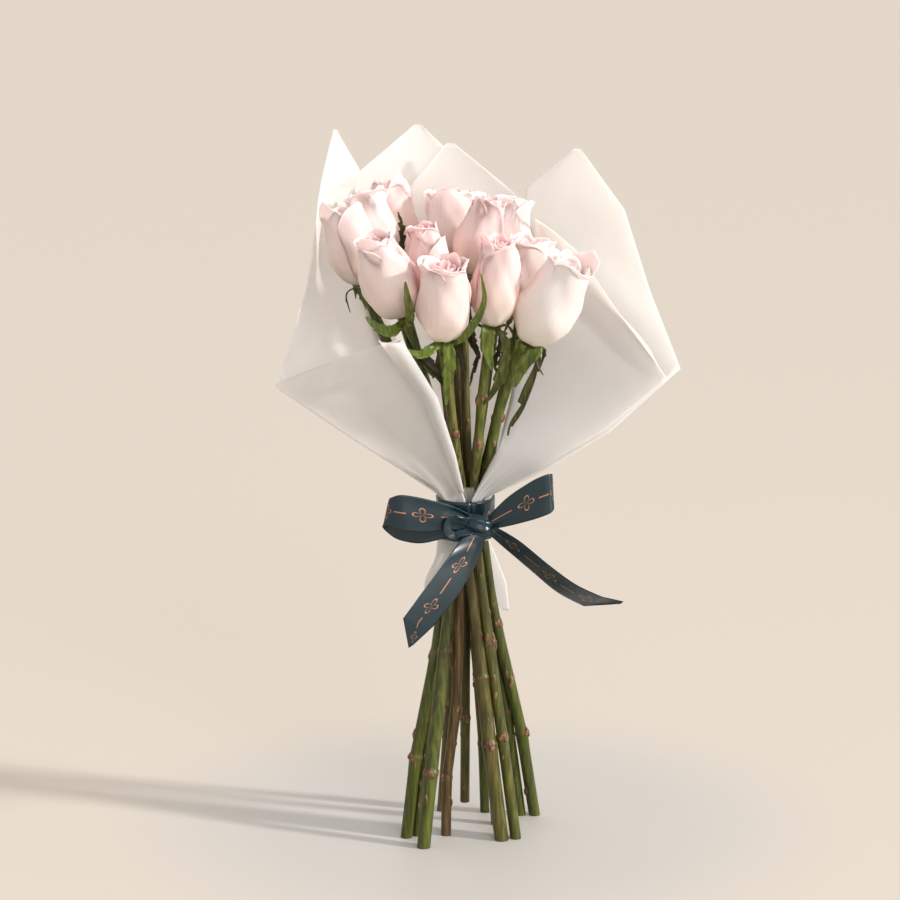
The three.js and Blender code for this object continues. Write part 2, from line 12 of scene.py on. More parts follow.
import bpy
import numpy as np
from mathutils import Matrix, Vector

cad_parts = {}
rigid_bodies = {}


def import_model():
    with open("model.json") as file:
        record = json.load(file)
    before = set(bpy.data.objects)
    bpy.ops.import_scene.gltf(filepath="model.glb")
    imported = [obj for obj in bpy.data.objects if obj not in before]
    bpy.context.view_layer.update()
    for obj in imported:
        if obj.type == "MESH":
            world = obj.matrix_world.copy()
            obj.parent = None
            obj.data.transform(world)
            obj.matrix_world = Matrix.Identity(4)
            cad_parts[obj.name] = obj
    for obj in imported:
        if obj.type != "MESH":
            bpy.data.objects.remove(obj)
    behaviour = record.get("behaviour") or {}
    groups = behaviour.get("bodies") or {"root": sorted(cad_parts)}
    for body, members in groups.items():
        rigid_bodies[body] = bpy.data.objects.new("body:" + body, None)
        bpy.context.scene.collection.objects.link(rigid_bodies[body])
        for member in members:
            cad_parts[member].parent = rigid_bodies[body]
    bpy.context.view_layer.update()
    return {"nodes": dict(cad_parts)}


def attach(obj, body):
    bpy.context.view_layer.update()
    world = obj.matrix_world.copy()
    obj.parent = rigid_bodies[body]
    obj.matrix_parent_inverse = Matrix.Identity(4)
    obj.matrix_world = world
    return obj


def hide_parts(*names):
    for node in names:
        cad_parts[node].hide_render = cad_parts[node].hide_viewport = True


bpy.ops.object.select_all(action="SELECT")
bpy.ops.object.delete()
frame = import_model()

# %% [markdown]
# ## Camera
#
# The photograph is taken with a long lens from a little above, so the upright lines stay
# nearly parallel. A level camera would hide the mouths of the blooms. The camera therefore
# looks down by 12.5 degrees, at a point a little above the middle of the bunch.

# %% Camera
MM = 0.001
CAMERA_PLACE = Vector((-17.0, -1903.1, 665.4)) * MM
CAMERA_PITCH = math.radians(12.5)
LENS_LENGTH = 124.84
SENSOR_WIDTH = 36

bpy.ops.object.camera_add(location=CAMERA_PLACE, rotation=(math.pi / 2 - CAMERA_PITCH, 0, 0))
camera = bpy.context.object
camera.data.lens = LENS_LENGTH
camera.data.sensor_width = SENSOR_WIDTH
bpy.context.scene.camera = camera
print("camera", [round(v, 3) for v in camera.location])

# %% [markdown]
# ## Shader helpers
#
# Every finish below is a Principled shader with a few nodes in front of it. The nodes could
# be placed by hand in the shader editor, but small helpers keep each finish readable. The
# first ones start a material, add a node, link two sockets, and read a place or an attribute.


# %% Shader helpers
def start_material(name, **sockets):
    material = bpy.data.materials.new(name)
    material.use_nodes = True
    shader = material.node_tree.nodes["Principled BSDF"]
    for socket, value in sockets.items():
        shader.inputs[socket.replace("_", " ")].default_value = value
    return material, shader


def add_node(material, kind, **settings):
    node = material.node_tree.nodes.new(kind)
    for key, value in settings.items():
        setattr(node, key, value)
    return node


def link(material, output, target):
    material.node_tree.links.new(output, target)


def object_place(material, stretch=(1, 1, 1)):
    place = add_node(material, "ShaderNodeTexCoord").outputs["Object"]
    mapping = add_node(material, "ShaderNodeMapping")
    mapping.inputs["Scale"].default_value = stretch
    link(material, place, mapping.inputs["Vector"])
    return mapping.outputs["Vector"]


def point_share(material, name):
    return add_node(material, "ShaderNodeAttribute", attribute_name=name).outputs["Fac"]


print("helpers that add, link and read are ready")

# %% [markdown]
# The other helpers make what a finish is mixed from: a noise, a ramp that turns a number
# into a colour, a mixture of two colours, and a bump that stands for very fine relief.

# %% Patterns and mixtures
NOISE_DETAIL = 3.0


def noise(material, place, scale, detail=NOISE_DETAIL):
    node = add_node(material, "ShaderNodeTexNoise")
    node.inputs["Scale"].default_value = scale
    node.inputs["Detail"].default_value = detail
    link(material, place, node.inputs["Vector"])
    return node.outputs["Fac"]


def ramp(material, factor, stops):
    node = add_node(material, "ShaderNodeValToRGB")
    colours = node.color_ramp.elements
    while len(colours) < len(stops):
        colours.new(0.5)
    for element, (position, colour) in zip(colours, stops):
        element.position = position
        element.color = (*colour, 1)
    link(material, factor, node.inputs["Fac"])
    return node.outputs["Color"]


def mix(material, factor, first, second, blend="MIX"):
    node = add_node(material, "ShaderNodeMix", data_type="RGBA", blend_type=blend)
    for value, socket in ((factor, 0), (first, 6), (second, 7)):
        if hasattr(value, "links"):
            link(material, value, node.inputs[socket])
        elif isinstance(value, tuple):
            node.inputs[socket].default_value = (*value, 1)
        else:
            node.inputs[socket].default_value = value
    return node.outputs[2]


def bump(material, shader, height, distance, strength):
    node = add_node(material, "ShaderNodeBump")
    node.inputs["Distance"].default_value = distance
    node.inputs["Strength"].default_value = strength
    link(material, height, node.inputs["Height"])
    link(material, node.outputs["Normal"], shader.inputs["Normal"])


print("noises have", NOISE_DETAIL, "octaves unless a finish says otherwise")

# %% [markdown]
# ## Light
#
# The light comes from the right and only a little from the front, about 25 degrees up, so
# shadows run to the left across the floor. The lamp is a sun with a wide angle, because a
# sun lights the near floor and the bunch alike, and a wide one has soft shadow edges. An
# area lamp beside the camera and a pale world fill the shade.

# %% Light
AIM_POINT = Vector((0, 0, 0.25))
SUN_TONE = (1.0, 0.95, 0.90)
ROOM_TONE = (1.0, 0.95, 0.91, 1)
ROOM_STRENGTH = 0.8


def add_lamp(kind, place, **settings):
    bpy.ops.object.light_add(type=kind, location=place)
    lamp = bpy.context.object
    lamp.rotation_euler = (AIM_POINT - lamp.location).to_track_quat("-Z", "Y").to_euler()
    for key, value in settings.items():
        setattr(lamp.data, key, value)
    print(lamp.name, [round(math.degrees(angle)) for angle in lamp.rotation_euler])


add_lamp("SUN", (2.05, -0.68, 1.24), energy=3.1, angle=math.radians(5), color=SUN_TONE)
add_lamp("AREA", (0.9, -2.1, 1.3), energy=17, size=1.2)
world = bpy.data.worlds.new("pale_room")
world.use_nodes = True
room = world.node_tree.nodes["Background"]
room.inputs["Color"].default_value = ROOM_TONE
room.inputs["Strength"].default_value = ROOM_STRENGTH
bpy.context.scene.world = world
bpy.context.scene.view_settings.view_transform = "Standard"

# %% [markdown]
# ## Floor
#
# The bunch stands on a pale floor, which has no edge in view. One large disc does this,
# where a plane with a bent back wall would need more care. Close round the stems it is
# cooler and darker, so its colour is a ramp over the distance from the middle. It is stage,
# and doesn't belong to the part.

# %% Floor
FLOOR_RADIUS = 40
FLOOR_MIDDLE = 0.13
FLOOR_EDGE = 0.24
bpy.ops.object.select_all(action="DESELECT")
bpy.ops.mesh.primitive_circle_add(vertices=64, radius=FLOOR_RADIUS, fill_type="NGON")
floor = bpy.context.object
floor.name = "floor"
floor_finish, floor_shader = start_material("floor_pale", Roughness=0.55)
floor_place = add_node(floor_finish, "ShaderNodeTexCoord").outputs["Object"]
floor_distance = add_node(floor_finish, "ShaderNodeVectorMath", operation="LENGTH")
link(floor_finish, floor_place, floor_distance.inputs[0])
floor_share = add_node(floor_finish, "ShaderNodeMapRange")
floor_share.inputs["From Min"].default_value = FLOOR_MIDDLE
floor_share.inputs["From Max"].default_value = FLOOR_EDGE
link(floor_finish, floor_distance.outputs["Value"], floor_share.inputs["Value"])
floor_colour = ramp(floor_finish, floor_share.outputs["Result"], [
    (0.0, (0.55, 0.535, 0.51)), (1.0, (0.635, 0.58, 0.51))])
link(floor_finish, floor_colour, floor_shader.inputs["Base Color"])
floor.data.materials.append(floor_finish)
print(floor.name, FLOOR_RADIUS, "m round")

# %% [markdown]
# ## Sheets
#
# A petal, a sepal, a ply of paper and a length of ribbon are all thin sheets. Each one
# starts as a grid primitive. Its points are then moved by a form, a function that says
# where the share across and the share along the sheet lie in space. The grid keeps its
# UV map, so a finish can follow the sheet from root to rim.


# %% Make a sheet from a grid
def deselect():
    if bpy.context.object and bpy.context.object.mode == "EDIT":
        bpy.ops.object.mode_set(mode="OBJECT")
    bpy.ops.object.select_all(action="DESELECT")


def point_places(piece):
    places = np.empty(len(piece.data.vertices) * 3)
    piece.data.vertices.foreach_get("co", places)
    return places.reshape(-1, 3)


def shaped_grid(across, along, form):
    deselect()
    bpy.ops.mesh.primitive_grid_add(x_subdivisions=across, y_subdivisions=along, size=1)
    sheet = bpy.context.object
    shares = point_places(sheet) + 0.5
    placed = form(shares[:, 0], shares[:, 1])
    sheet.data.vertices.foreach_set("co", np.ascontiguousarray(placed * MM).ravel())
    sheet.data.update()
    return sheet


def round_axis(radius, angle, level):
    return np.stack([radius * np.cos(angle), radius * np.sin(angle), level], axis=-1)


print("a quarter turn at 10 mm ends at", round_axis(10.0, math.pi / 2, 0.0).round(1))

# %% [markdown]
# ## The roses
#
# These are the places of the blooms: the base and the tip of each, the radius of its
# belly, and its way of opening. They are the places that the solids have. The turn brings
# the middle of one outer petal to that angle, where -90 degrees faces the camera.

# %% Places of the roses
BUNCH_SHIFT = np.array([-1.5, -14.0, 0.0])
ROSE_COLUMNS = ("base", "tip", "belly", "turn", "mouth", "roll", "blush")
ROSES = {
    "a": ((-68, 0, 350), (-83, 0, 398), 15, -70, 0.74, 30, 0.55),
    "b": ((-56, 28, 359), (-69, 31, 404), 13.6, -75, 0.66, 80, 0.1),
    "c": ((-50, 55, 356), (-54, 60, 408), 15.3, -100, 0.66, 28, 0.65),
    "d": ((-43, -30, 336), (-62, -44, 387), 17.5, -105, 0.56, 70, 0.55),
    "e": ((-26, -2, 343), (-33, -8, 390), 14.0, -95, 0.50, 35, 0.75),
    "f": ((-19, -38, 322), (-19, -51, 373), 15.8, -100, 0.72, 85, 0.6),
    "g": ((-14, 41, 356), (-16, 45, 405), 14.8, -85, 0.86, 30, 0.25),
    "h": ((-4, 12, 354), (10, 9, 404), 14.8, -110, 0.50, 50, 0.75),
    "i": ((17, 45, 350), (24, 48, 398), 14.8, -60, 0.66, 60, 0.25),
    "j": ((9, -33, 330), (15, -41, 386), 14.3, -80, 0.58, 55, 0.8),
    "k": ((28, 7, 332), (35, 3, 379), 14.8, -60, 0.74, 60, 0.3),
    "l": ((31, -27, 319), (59, -40, 371), 17.9, -72, 0.60, 75, 0.05),
}
ROSES = {letter: dict(zip(ROSE_COLUMNS, row)) for letter, row in ROSES.items()}
ROSE_ORDER = {letter: index for index, letter in enumerate(ROSES)}


def bloom_axis(rose):
    base = np.array(rose["base"], float) + BUNCH_SHIFT
    tip = np.array(rose["tip"], float) + BUNCH_SHIFT
    height = np.linalg.norm(tip - base)
    return base, (tip - base) / height, height


def lean_to(axis):
    return np.array(Vector((0, 0, 1)).rotation_difference(Vector(axis)).to_matrix())


print(len(ROSES), "roses")

# %% [markdown]
# ## Petals
#
# A rose petal is a cupped sheet. It follows the round body of the bud, and near the rim it
# rolls outwards, more at its sides than at its tip, which makes the tip look pointed. The
# neighbours overlap like tiles: one side of each petal lies over the next one and the other
# side lies under. Sculpting about eighteen petals for each bloom by hand would give
# twelve unlike blooms slowly, so one form makes them all.

# %% The body of the bud
BELLY_AT = 0.4


def smoothstep(value):
    value = np.clip(value, 0, 1)
    return value * value * (3 - 2 * value)


def bud_radius(rise, belly, mouth):
    low = np.sin(np.clip(rise / BELLY_AT, 0, 1) * math.pi / 2) ** 0.5
    high = 1 - (1 - mouth) * smoothstep((rise - BELLY_AT) / (1 - BELLY_AT))
    return belly * low * high


print("radius at the belly", bud_radius(BELLY_AT, ROSES["a"]["belly"], ROSES["a"]["mouth"]), "mm")

# %% [markdown]
# The form of a petal has three steps. The first finds how high the rim stands at each
# place across, with a point in the middle, dropped corners and a slight wave. The second
# lays the petal on the bud, a little further out at one side than at the other. The third
# rolls the part above ROLL_FROM outwards.

# %% The form of a petal
TIP_WIDTH = 0.22
TIP_LEAN = 0.4
CORNER_DROP = 0.13
RIM_WAVES = ((0.018, 3.3, 1), (0.008, 9, 2))
ROLL_FROM = 0.74
EDGE_SINK = 0.75
LEAST_RADIUS = 0.4


def petal_top(petal, side):
    edge = np.abs(side)
    tip = petal["tip"] * np.exp(-(side / TIP_WIDTH) ** 2) * (1 + TIP_LEAN * side)
    wave = sum(depth * np.sin(pace * side + times * petal["phase"]) for depth, pace, times in RIM_WAVES)
    corner = CORNER_DROP * edge ** 5
    return petal["lift"] * (1 - petal["drop"] * edge ** 2.4 - corner + tip + wave)


def petal_form(rose, height, petal):
    def form(across, along):
        side = 2 * across - 1
        edge = np.abs(side)
        roll_radius = petal["roll_radius"] * (1 - 0.2 * edge)
        rim_rise = petal_top(petal, side) - roll_radius / height * 0.8
        rise = rim_rise * np.minimum(along / ROLL_FROM, 1) ** 0.92
        opened = smoothstep(rise / 0.8)
        radius = bud_radius(rise, rose["belly"], rose["mouth"])
        radius *= 1 - (1 - petal["share"]) * opened
        radius += petal["step"] * side * opened - petal["tuck"] * (0.35 + 0.65 * opened)
        radius -= EDGE_SINK * edge ** 6 * opened
        flare = petal["flare"] * smoothstep((rise - 0.5) / 0.5)
        radius += flare * (1 + 0.35 * np.sin(1.7 * side + petal["phase"]))
        half_turn = math.radians(petal["width"]) * side * (1 + 0.12 * opened)
        past = np.clip((along - ROLL_FROM) / (1 - ROLL_FROM), 0, 1)
        curl = np.radians(petal["roll"]) * (1 - petal["point"] * (1 - edge) ** 2) * past
        curl *= 1 - 0.9 * edge ** 3
        radius += roll_radius * (1 - np.cos(curl))
        level = height * rise + roll_radius * np.sin(curl)
        return round_axis(np.maximum(radius, LEAST_RADIUS), math.radians(petal["turn"]) + half_turn, level)
    return form


print("a tip of 0.1 lifts the rim to", petal_top(dict(lift=1, drop=0, tip=0.1, phase=0), 0.0))

# %% [markdown]
# The layers go from broad guard petals to a tight coil in the middle. The inner layers
# stand a little lower and roll less. One guard petal lies over both its neighbours and
# faces the viewer with a smooth front. The guards are what is seen most, so each bloom
# names the ways in which its own guards differ.

# %% The layers of a bloom
LAYER_COLUMNS = ("count", "share", "tuck", "lift", "width", "roll", "roll_radius", "drop", "step", "flare")
PETAL_LAYERS = [
    (1, 1.0, -0.7, 0.98, 80, 0.9, 4.5, 0.06, 0.0, 0.8),
    (5, 1.0, 0.0, 0.99, 52, 0.8, 4.5, 0.05, 0.5, 1.2),
    (4, 0.82, 0.7, 1.0, 58, 0.6, 4.0, 0.06, 0.6, 1.0),
    (4, 0.60, 0.8, 0.985, 64, 0.35, 3.0, 0.08, 0.5, 0.6),
    (3, 0.34, 0.6, 0.975, 80, 0.2, 2.0, 0.05, 0.5, 0.0),
]
PETAL_LAYERS = [dict(zip(LAYER_COLUMNS, row)) for row in PETAL_LAYERS]

# The first guard of each list lies on top.
GUARDS = {
    "a": [dict(turn=-40, width=62, lift=1.0, tip=0.06),
          dict(turn=-130, width=58, lift=1.06, tip=0.10, roll=35, drop=0.2)],
    "b": [dict(turn=-70, width=78, roll=115, roll_radius=5.0)],
    "c": [dict(turn=-55, width=52, lift=1.02, tip=0.12, roll=25, drop=0.25),
          dict(turn=-140, width=48, lift=0.98, tip=0.10, roll=15, drop=0.2)],
    "d": [dict(turn=-108, width=82, lift=1.06, drop=0.26, tip=0.05, roll=24, flare=0.6),
          dict(turn=-50, width=84, lift=1.0, drop=0.06, flare=0.0, roll=14, blush=0.85)],
    "e": [dict(turn=-22, width=58, lift=0.80, flare=3.0, roll=35, blush=0.3),
          dict(turn=-110, width=100, roll_radius=2.4, roll=105, flare=0.2, drop=0.02, point=0.0)],
    "f": [dict(turn=-100, width=92, roll=75, roll_radius=3.2, lift=0.97, drop=0.02, point=0.0, flare=1.2),
          dict(turn=10, width=62, roll=60, lift=0.95, flare=0.5)],
    "g": [dict(turn=-95, width=70, tip=0.07, roll=15), dict(turn=-15, width=60, lift=0.96)],
    "h": [dict(turn=-112, width=84, roll=40, drop=0.1)],
    "j": [dict(turn=-68, width=74, drop=0.12, tip=0.03), dict(turn=-165, width=60, lift=1.03, flare=1.5)],
    "k": [dict(turn=-50, width=74, lift=1.04, flare=1.5, roll=35, blush=0.2),
          dict(turn=-125, width=72, lift=0.96)],
    "l": [dict(turn=-105, width=95, drop=0.03, roll=65, roll_radius=3.6, point=0.0, flare=1.3),
          dict(turn=48, width=52, lift=1.12, roll=40, roll_radius=6.0, flare=2.0, drop=0.12, blush=0.6),
          dict(turn=-200, width=42, lift=0.97, roll=110, roll_radius=3.2)],
}
print(len(PETAL_LAYERS), "layers, and", sum(map(len, GUARDS.values())), "guards of their own kind")

# %% [markdown]
# The other numbers of a petal are drawn from a seed. No two petals are alike, and yet every
# run gives the same blooms.

# %% The petals of a bloom
GUARD_STEP = 0.5
LAYER_TURN = 36
LAYER_BLUSH = 0.13


def seeded(seed):
    factor, shift, span = 1664525, 1013904223, 2 ** 32
    state = seed
    while True:
        state = (state * factor + shift) % span
        yield state / span


def bloom_petals(letter, rose):
    draw = seeded(101 + 17 * ROSE_ORDER[letter])
    petals = []
    for depth, layer in enumerate(PETAL_LAYERS):
        outer = depth == 0
        changes = GUARDS.get(letter, [{}]) if outer else [{}] * layer["count"]
        for index, change in enumerate(changes):
            over = len(changes) - 1 - index if outer else 0
            turn = rose["turn"] + LAYER_TURN * depth + index * 360 / layer["count"]
            petal = dict(
                turn=turn + 9 * (next(draw) - 0.5),
                width=layer["width"] * (0.96 + 0.1 * next(draw)),
                share=layer["share"],
                tuck=layer["tuck"] - GUARD_STEP * over,
                lift=layer["lift"] * (1 - 0.05 * next(draw)),
                roll=rose["roll"] * layer["roll"] * (0.7 + 0.6 * next(draw)),
                roll_radius=layer["roll_radius"] * (0.8 + 0.4 * next(draw)),
                drop=layer["drop"] * (0.6 + 0.8 * next(draw)),
                tip=0.045 * next(draw),
                point=0.35 * next(draw),
                step=layer["step"],
                flare=layer["flare"] * 2 * next(draw),
                phase=6.3 * next(draw),
                blush=min(1.0, rose["blush"] + LAYER_BLUSH * max(0, depth - 1) + 0.1 * (next(draw) - 0.5)),
            )
            petal.update(change)
            petals.append(petal)
    return petals


print({letter: len(bloom_petals(letter, rose)) for letter, rose in ROSES.items()}, "petals")

# %% [markdown]
# ## Petal finish
#
# Outside, the petals are cream with a breath of pink, a little green at the root, and
# pinker towards the rim and in the heart of the bloom. The UV map runs from root to rim,
# so a colour ramp on it gives that change. A noise stretched along the petal draws the
# fine veins. Some light goes through a petal, which subsurface scattering gives.

# %% Petal finish
VEIN_STRETCH = (34, 2.2, 1)
petal_finish, petal_shader = start_material(
    "petal_blush", Roughness=0.5, Subsurface_Weight=0.6, Subsurface_Scale=0.003,
    Sheen_Weight=0.02, Sheen_Roughness=0.4, Specular_IOR_Level=0.2)
petal_shader.inputs["Subsurface Radius"].default_value = (1.0, 0.86, 0.82)
petal_uv = add_node(petal_finish, "ShaderNodeUVMap", uv_map="UVMap").outputs["UV"]
petal_split = add_node(petal_finish, "ShaderNodeSeparateXYZ")
link(petal_finish, petal_uv, petal_split.inputs["Vector"])
cream_tone = ramp(petal_finish, petal_split.outputs["Y"], [
    (0.0, (0.66, 0.66, 0.36)), (0.07, (0.90, 0.75, 0.63)), (0.3, (0.98, 0.82, 0.755)),
    (0.72, (0.99, 0.84, 0.80)), (1.0, (0.99, 0.90, 0.88))])
pink_tone = ramp(petal_finish, petal_split.outputs["Y"], [
    (0.0, (0.66, 0.62, 0.36)), (0.07, (0.92, 0.68, 0.57)), (0.3, (0.99, 0.61, 0.55)),
    (0.72, (1.0, 0.60, 0.60)), (1.0, (1.0, 0.68, 0.71))])
petal_tone = mix(petal_finish, point_share(petal_finish, "blush"), cream_tone, pink_tone)
vein_map = add_node(petal_finish, "ShaderNodeMapping")
vein_map.inputs["Scale"].default_value = VEIN_STRETCH
link(petal_finish, petal_uv, vein_map.inputs["Vector"])
veins = noise(petal_finish, vein_map.outputs["Vector"], 1.0, 4.0)
vein_tone = ramp(petal_finish, veins, [(0.3, (0.97, 0.96, 0.955)), (0.7, (1.0, 1.0, 1.0))])
petal_tone = mix(petal_finish, 1.0, petal_tone, vein_tone, "MULTIPLY")
link(petal_finish, petal_tone, petal_shader.inputs["Base Color"])
bump(petal_finish, petal_shader, veins, 0.0001, 0.35)
print(petal_finish.name, len(petal_finish.node_tree.nodes), "nodes")

# %% [markdown]
# ## Finish a piece
#
# Every piece ends in the same way. A Solidify modifier gives a sheet its thickness, the
# parts are joined, and the joined mesh is shaded smooth and keeps no turn or scale of its
# own. It then gets its material and takes the place of one solid: it rides on the root
# body, and the node of that solid is hidden.


# %% Finish a piece
def apply_modifier(piece, kind, **settings):
    bpy.context.view_layer.objects.active = piece
    modifier = piece.modifiers.new(kind.title(), kind)
    for key, value in settings.items():
        setattr(modifier, key, value)
    bpy.ops.object.modifier_apply(modifier=modifier.name)


def mark_points(piece, name, values):
    attribute = piece.data.attributes.new(name, "FLOAT", "POINT")
    attribute.data.foreach_set("value", np.full(len(piece.data.vertices), values, dtype=np.float32))


def join_pieces(parts, name):
    deselect()
    for part in parts:
        part.select_set(True)
    bpy.context.view_layer.objects.active = parts[0]
    if len(parts) > 1:
        bpy.ops.object.join()
    joined = bpy.context.object
    bpy.ops.object.transform_apply(location=True, rotation=True, scale=True)
    bpy.ops.object.shade_smooth()
    joined.name = name
    joined.data.name = name
    return joined


def dress(piece, finish, node):
    piece.data.materials.clear()
    piece.data.materials.append(finish)
    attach(piece, "root")
    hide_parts(node)
    print(piece.name, len(piece.data.polygons), "faces")


# %% [markdown]
# ## Blooms
#
# The petals of a bloom are formed upright, and leant over to the axis of the bloom. Soft
# dents are added before that. They run through all layers alike, so that no petal cuts its
# neighbour.

# %% Model the blooms
PETAL_THICKNESS = 0.42
DENT_DEPTH = 0.75


def dented(points, phase):
    angle = np.arctan2(points[:, 1], points[:, 0])
    level = points[:, 2]
    dent = np.sin(3 * angle + phase) * np.sin(level / 4.6 + 2 * phase)
    dent += 0.7 * np.sin(5 * angle - level / 6 + 3 * phase)
    dent += 0.4 * np.sin(8 * angle + level / 3.5 + phase)
    grown = 1 + DENT_DEPTH * dent / np.hypot(points[:, 0], points[:, 1]).clip(4)
    return points * np.stack([grown, grown, np.ones(len(grown))], axis=-1)


def model_bloom(letter, rose):
    base, axis, height = bloom_axis(rose)
    turned = lean_to(axis)
    parts = []
    for petal in bloom_petals(letter, rose):
        upright = petal_form(rose, height, petal)

        def leant(across, along, upright=upright):
            return dented(upright(across, along), ROSE_ORDER[letter]) @ turned.T + base

        sheet = shaped_grid(18, 28, leant)
        mark_points(sheet, "blush", petal["blush"])
        parts.append(sheet)
    bloom = join_pieces(parts, f"bloom_{letter}")
    apply_modifier(bloom, "SOLIDIFY", thickness=PETAL_THICKNESS * MM, offset=-1)
    return bloom


for letter, rose in ROSES.items():
    dress(model_bloom(letter, rose), petal_finish, f"rose_{letter}_bloom")

# %% [markdown]
# ## Stems
#
# A stem is a bent rod that swells at its nodes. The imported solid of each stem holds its
# centre line: at a few set heights it has a ring of points. Their middles are read here,
# so the fine stem runs exactly where the solid one does. A curve with a round
# bevel follows them, because each point of a curve can have a thickness of its own.

# %% Read the centre lines
STEM_LEVELS = [0, 12, 45, 90, 130, 155, 172, 185, 195, 205, 215, 227, 243, 265, 292, 320]
LEAST_RING = 6


def stem_rings(node):
    levels = {}
    for vertex in frame["nodes"][node].data.vertices:
        level = round(vertex.co.z / MM, 1)
        if level in STEM_LEVELS:
            levels.setdefault(level, set()).add((round(vertex.co.x / MM, 2), round(vertex.co.y / MM, 2)))
    rings = []
    for level in sorted(levels):
        points = np.array(sorted(levels[level]))
        if len(points) >= LEAST_RING:
            middle = points.mean(axis=0)
            radius = np.linalg.norm(points - middle, axis=1).mean()
            rings.append((*middle, level, radius))
    return np.array(rings)


def smooth_line(points, heights):
    slopes = np.gradient(points, points[:, 2], axis=0)
    found = []
    for height in heights:
        index = int(np.clip(np.searchsorted(points[:, 2], height) - 1, 0, len(points) - 2))
        low, high = points[index], points[index + 1]
        run = high[2] - low[2]
        share = (height - low[2]) / run
        square, cube = share * share, share * share * share
        found.append((2 * cube - 3 * square + 1) * low + (cube - 2 * square + share) * run * slopes[index]
                     + (3 * square - 2 * cube) * high + (cube - square) * run * slopes[index + 1])
    return np.array(found)


print({letter: len(stem_rings(f"rose_{letter}_stem")) for letter in ROSES}, "rings")

# %% [markdown]
# The nodes are where leaves grew. Each is a slight ring with a bud or a scar on one side,
# and the stem bends a little there. Their heights differ from stem to stem, and the lowest
# ones stand where the camera sees them best. Each is named by its height and by the turn
# at which its bud stands. Under the bloom the stem widens to the hip.

# %% Nodes of the stems
STEM_NODES = {
    "a": [(52, -150), (118, 20), (250, -60)], "b": [(70, -90), (150, 60)],
    "c": [(60, -160), (128, -40)], "d": [(47, -100), (122, -30), (268, -150)],
    "e": [(38, -160), (82, -50), (240, -110)], "f": [(62, -95), (104, -200), (262, -60), (292, -120)],
    "g": [(58, 90), (126, 200)], "h": [(80, -60), (140, -120)],
    "i": [(48, 60), (116, -20)], "j": [(66, -80), (125, -30), (254, -100), (284, -60)],
    "k": [(72, -30), (132, 10)], "l": [(58, -20), (134, -60), (238, -70), (270, -10)],
}
print(sum(map(len, STEM_NODES.values())), "nodes")

# %% The line of a stem
NODE_SWELL = 0.16
NODE_REACH = 1.6
NODE_SHOULDER = 0.07
NODE_KINK = 1.8
LINE_STEP = 5.0
NODE_STEPS = (-4, -2, -1, -0.3, 0.4, 1.2, 2.2, 4)

# The hip goes by distances under the base of the bloom and by radii.
HIP_START = ((12, 2.95), (7, 3.1))
HIP_END = ((4.5, 3.9), (3.0, 4.7), (1.5, 4.9), (0.4, 4.2))
FOOT_RADII = {"a": 3.8, "b": 3.0, "c": 3.5, "d": 4.3, "e": 3.2, "f": 4.5, "g": 3.0, "h": 3.2, "i": 3.0,
              "j": 3.5, "k": 3.5, "l": 3.7}
FOOT_STOPS = (60, 165)


def below_bloom(rose, steps):
    base, axis, _ = bloom_axis(rose)
    return [(*(base - back * axis), radius) for back, radius in steps]


def stem_line(letter, rose):
    rows = np.array([*stem_rings(f"rose_{letter}_stem"), *below_bloom(rose, HIP_START)])
    bends = [z for z, _ in STEM_NODES[letter]]
    heights = np.arange(rows[0, 2], rows[-1, 2], LINE_STEP)
    near = [z + step for z in bends for step in NODE_STEPS]
    heights = np.array(sorted({*heights.round(1), *near, rows[-1, 2]}))
    line = smooth_line(rows, heights[(heights >= rows[0, 2]) & (heights <= rows[-1, 2])])
    low_share = 1 - smoothstep((line[:, 2] - FOOT_STOPS[0]) / (FOOT_STOPS[1] - FOOT_STOPS[0]))
    line[:, 3] += low_share * (FOOT_RADII[letter] - line[:, 3])
    kinks = [NODE_KINK * (-1) ** index for index in range(len(bends))]
    aside = np.interp(line[:, 2], [0, *bends, bends[-1] + 60], [0, *kinks, 0])
    turn = math.radians(STEM_NODES[letter][0][1])
    line[:, 0] += aside * math.cos(turn)
    line[:, 1] += aside * math.sin(turn)
    for z in bends:
        above = line[:, 2] - z
        line[:, 3] *= 1 + NODE_SWELL * np.exp(-(above / NODE_REACH) ** 2)
        line[:, 3] *= 1 + NODE_SHOULDER * np.exp(-((above + 4) / 5) ** 2)
    return np.array([*line, *below_bloom(rose, HIP_END)])


print("stem a goes through", len(stem_line("a", ROSES["a"])), "points")

# %% [markdown]
# A curve with a bevel becomes a rod. It is then turned into a mesh, because a real stem has
# a flat cut foot, and only a mesh can have its lowest points pressed to one height.

# %% Bend a rod along the line
CUT_REACH = 1.2


def cut_flat(stem, z):
    for vertex in stem.data.vertices:
        if vertex.co.z < (z + CUT_REACH) * MM:
            vertex.co.z = z * MM


def rod(line, name):
    curve = bpy.data.curves.new(name, "CURVE")
    curve.dimensions = "3D"
    curve.bevel_depth = MM
    curve.bevel_resolution = 5
    curve.use_fill_caps = True
    spline = curve.splines.new("POLY")
    spline.points.add(len(line) - 1)
    for point, (x, y, z, radius) in zip(spline.points, line):
        point.co = (x * MM, y * MM, z * MM, 1)
        point.radius = radius
    stem = bpy.data.objects.new(name, curve)
    bpy.context.collection.objects.link(stem)
    deselect()
    stem.select_set(True)
    bpy.context.view_layer.objects.active = stem
    bpy.ops.object.convert(target="MESH")
    return bpy.context.object


print("each foot is cut flat within", CUT_REACH, "mm")

# %% [markdown]
# ## Buds
#
# A bud is a small pointed drop that leans up against the stem. It starts as a UV sphere
# that is stretched and drawn to a point. It is modelled once, and every node gets copies,
# each with a mesh of its own.

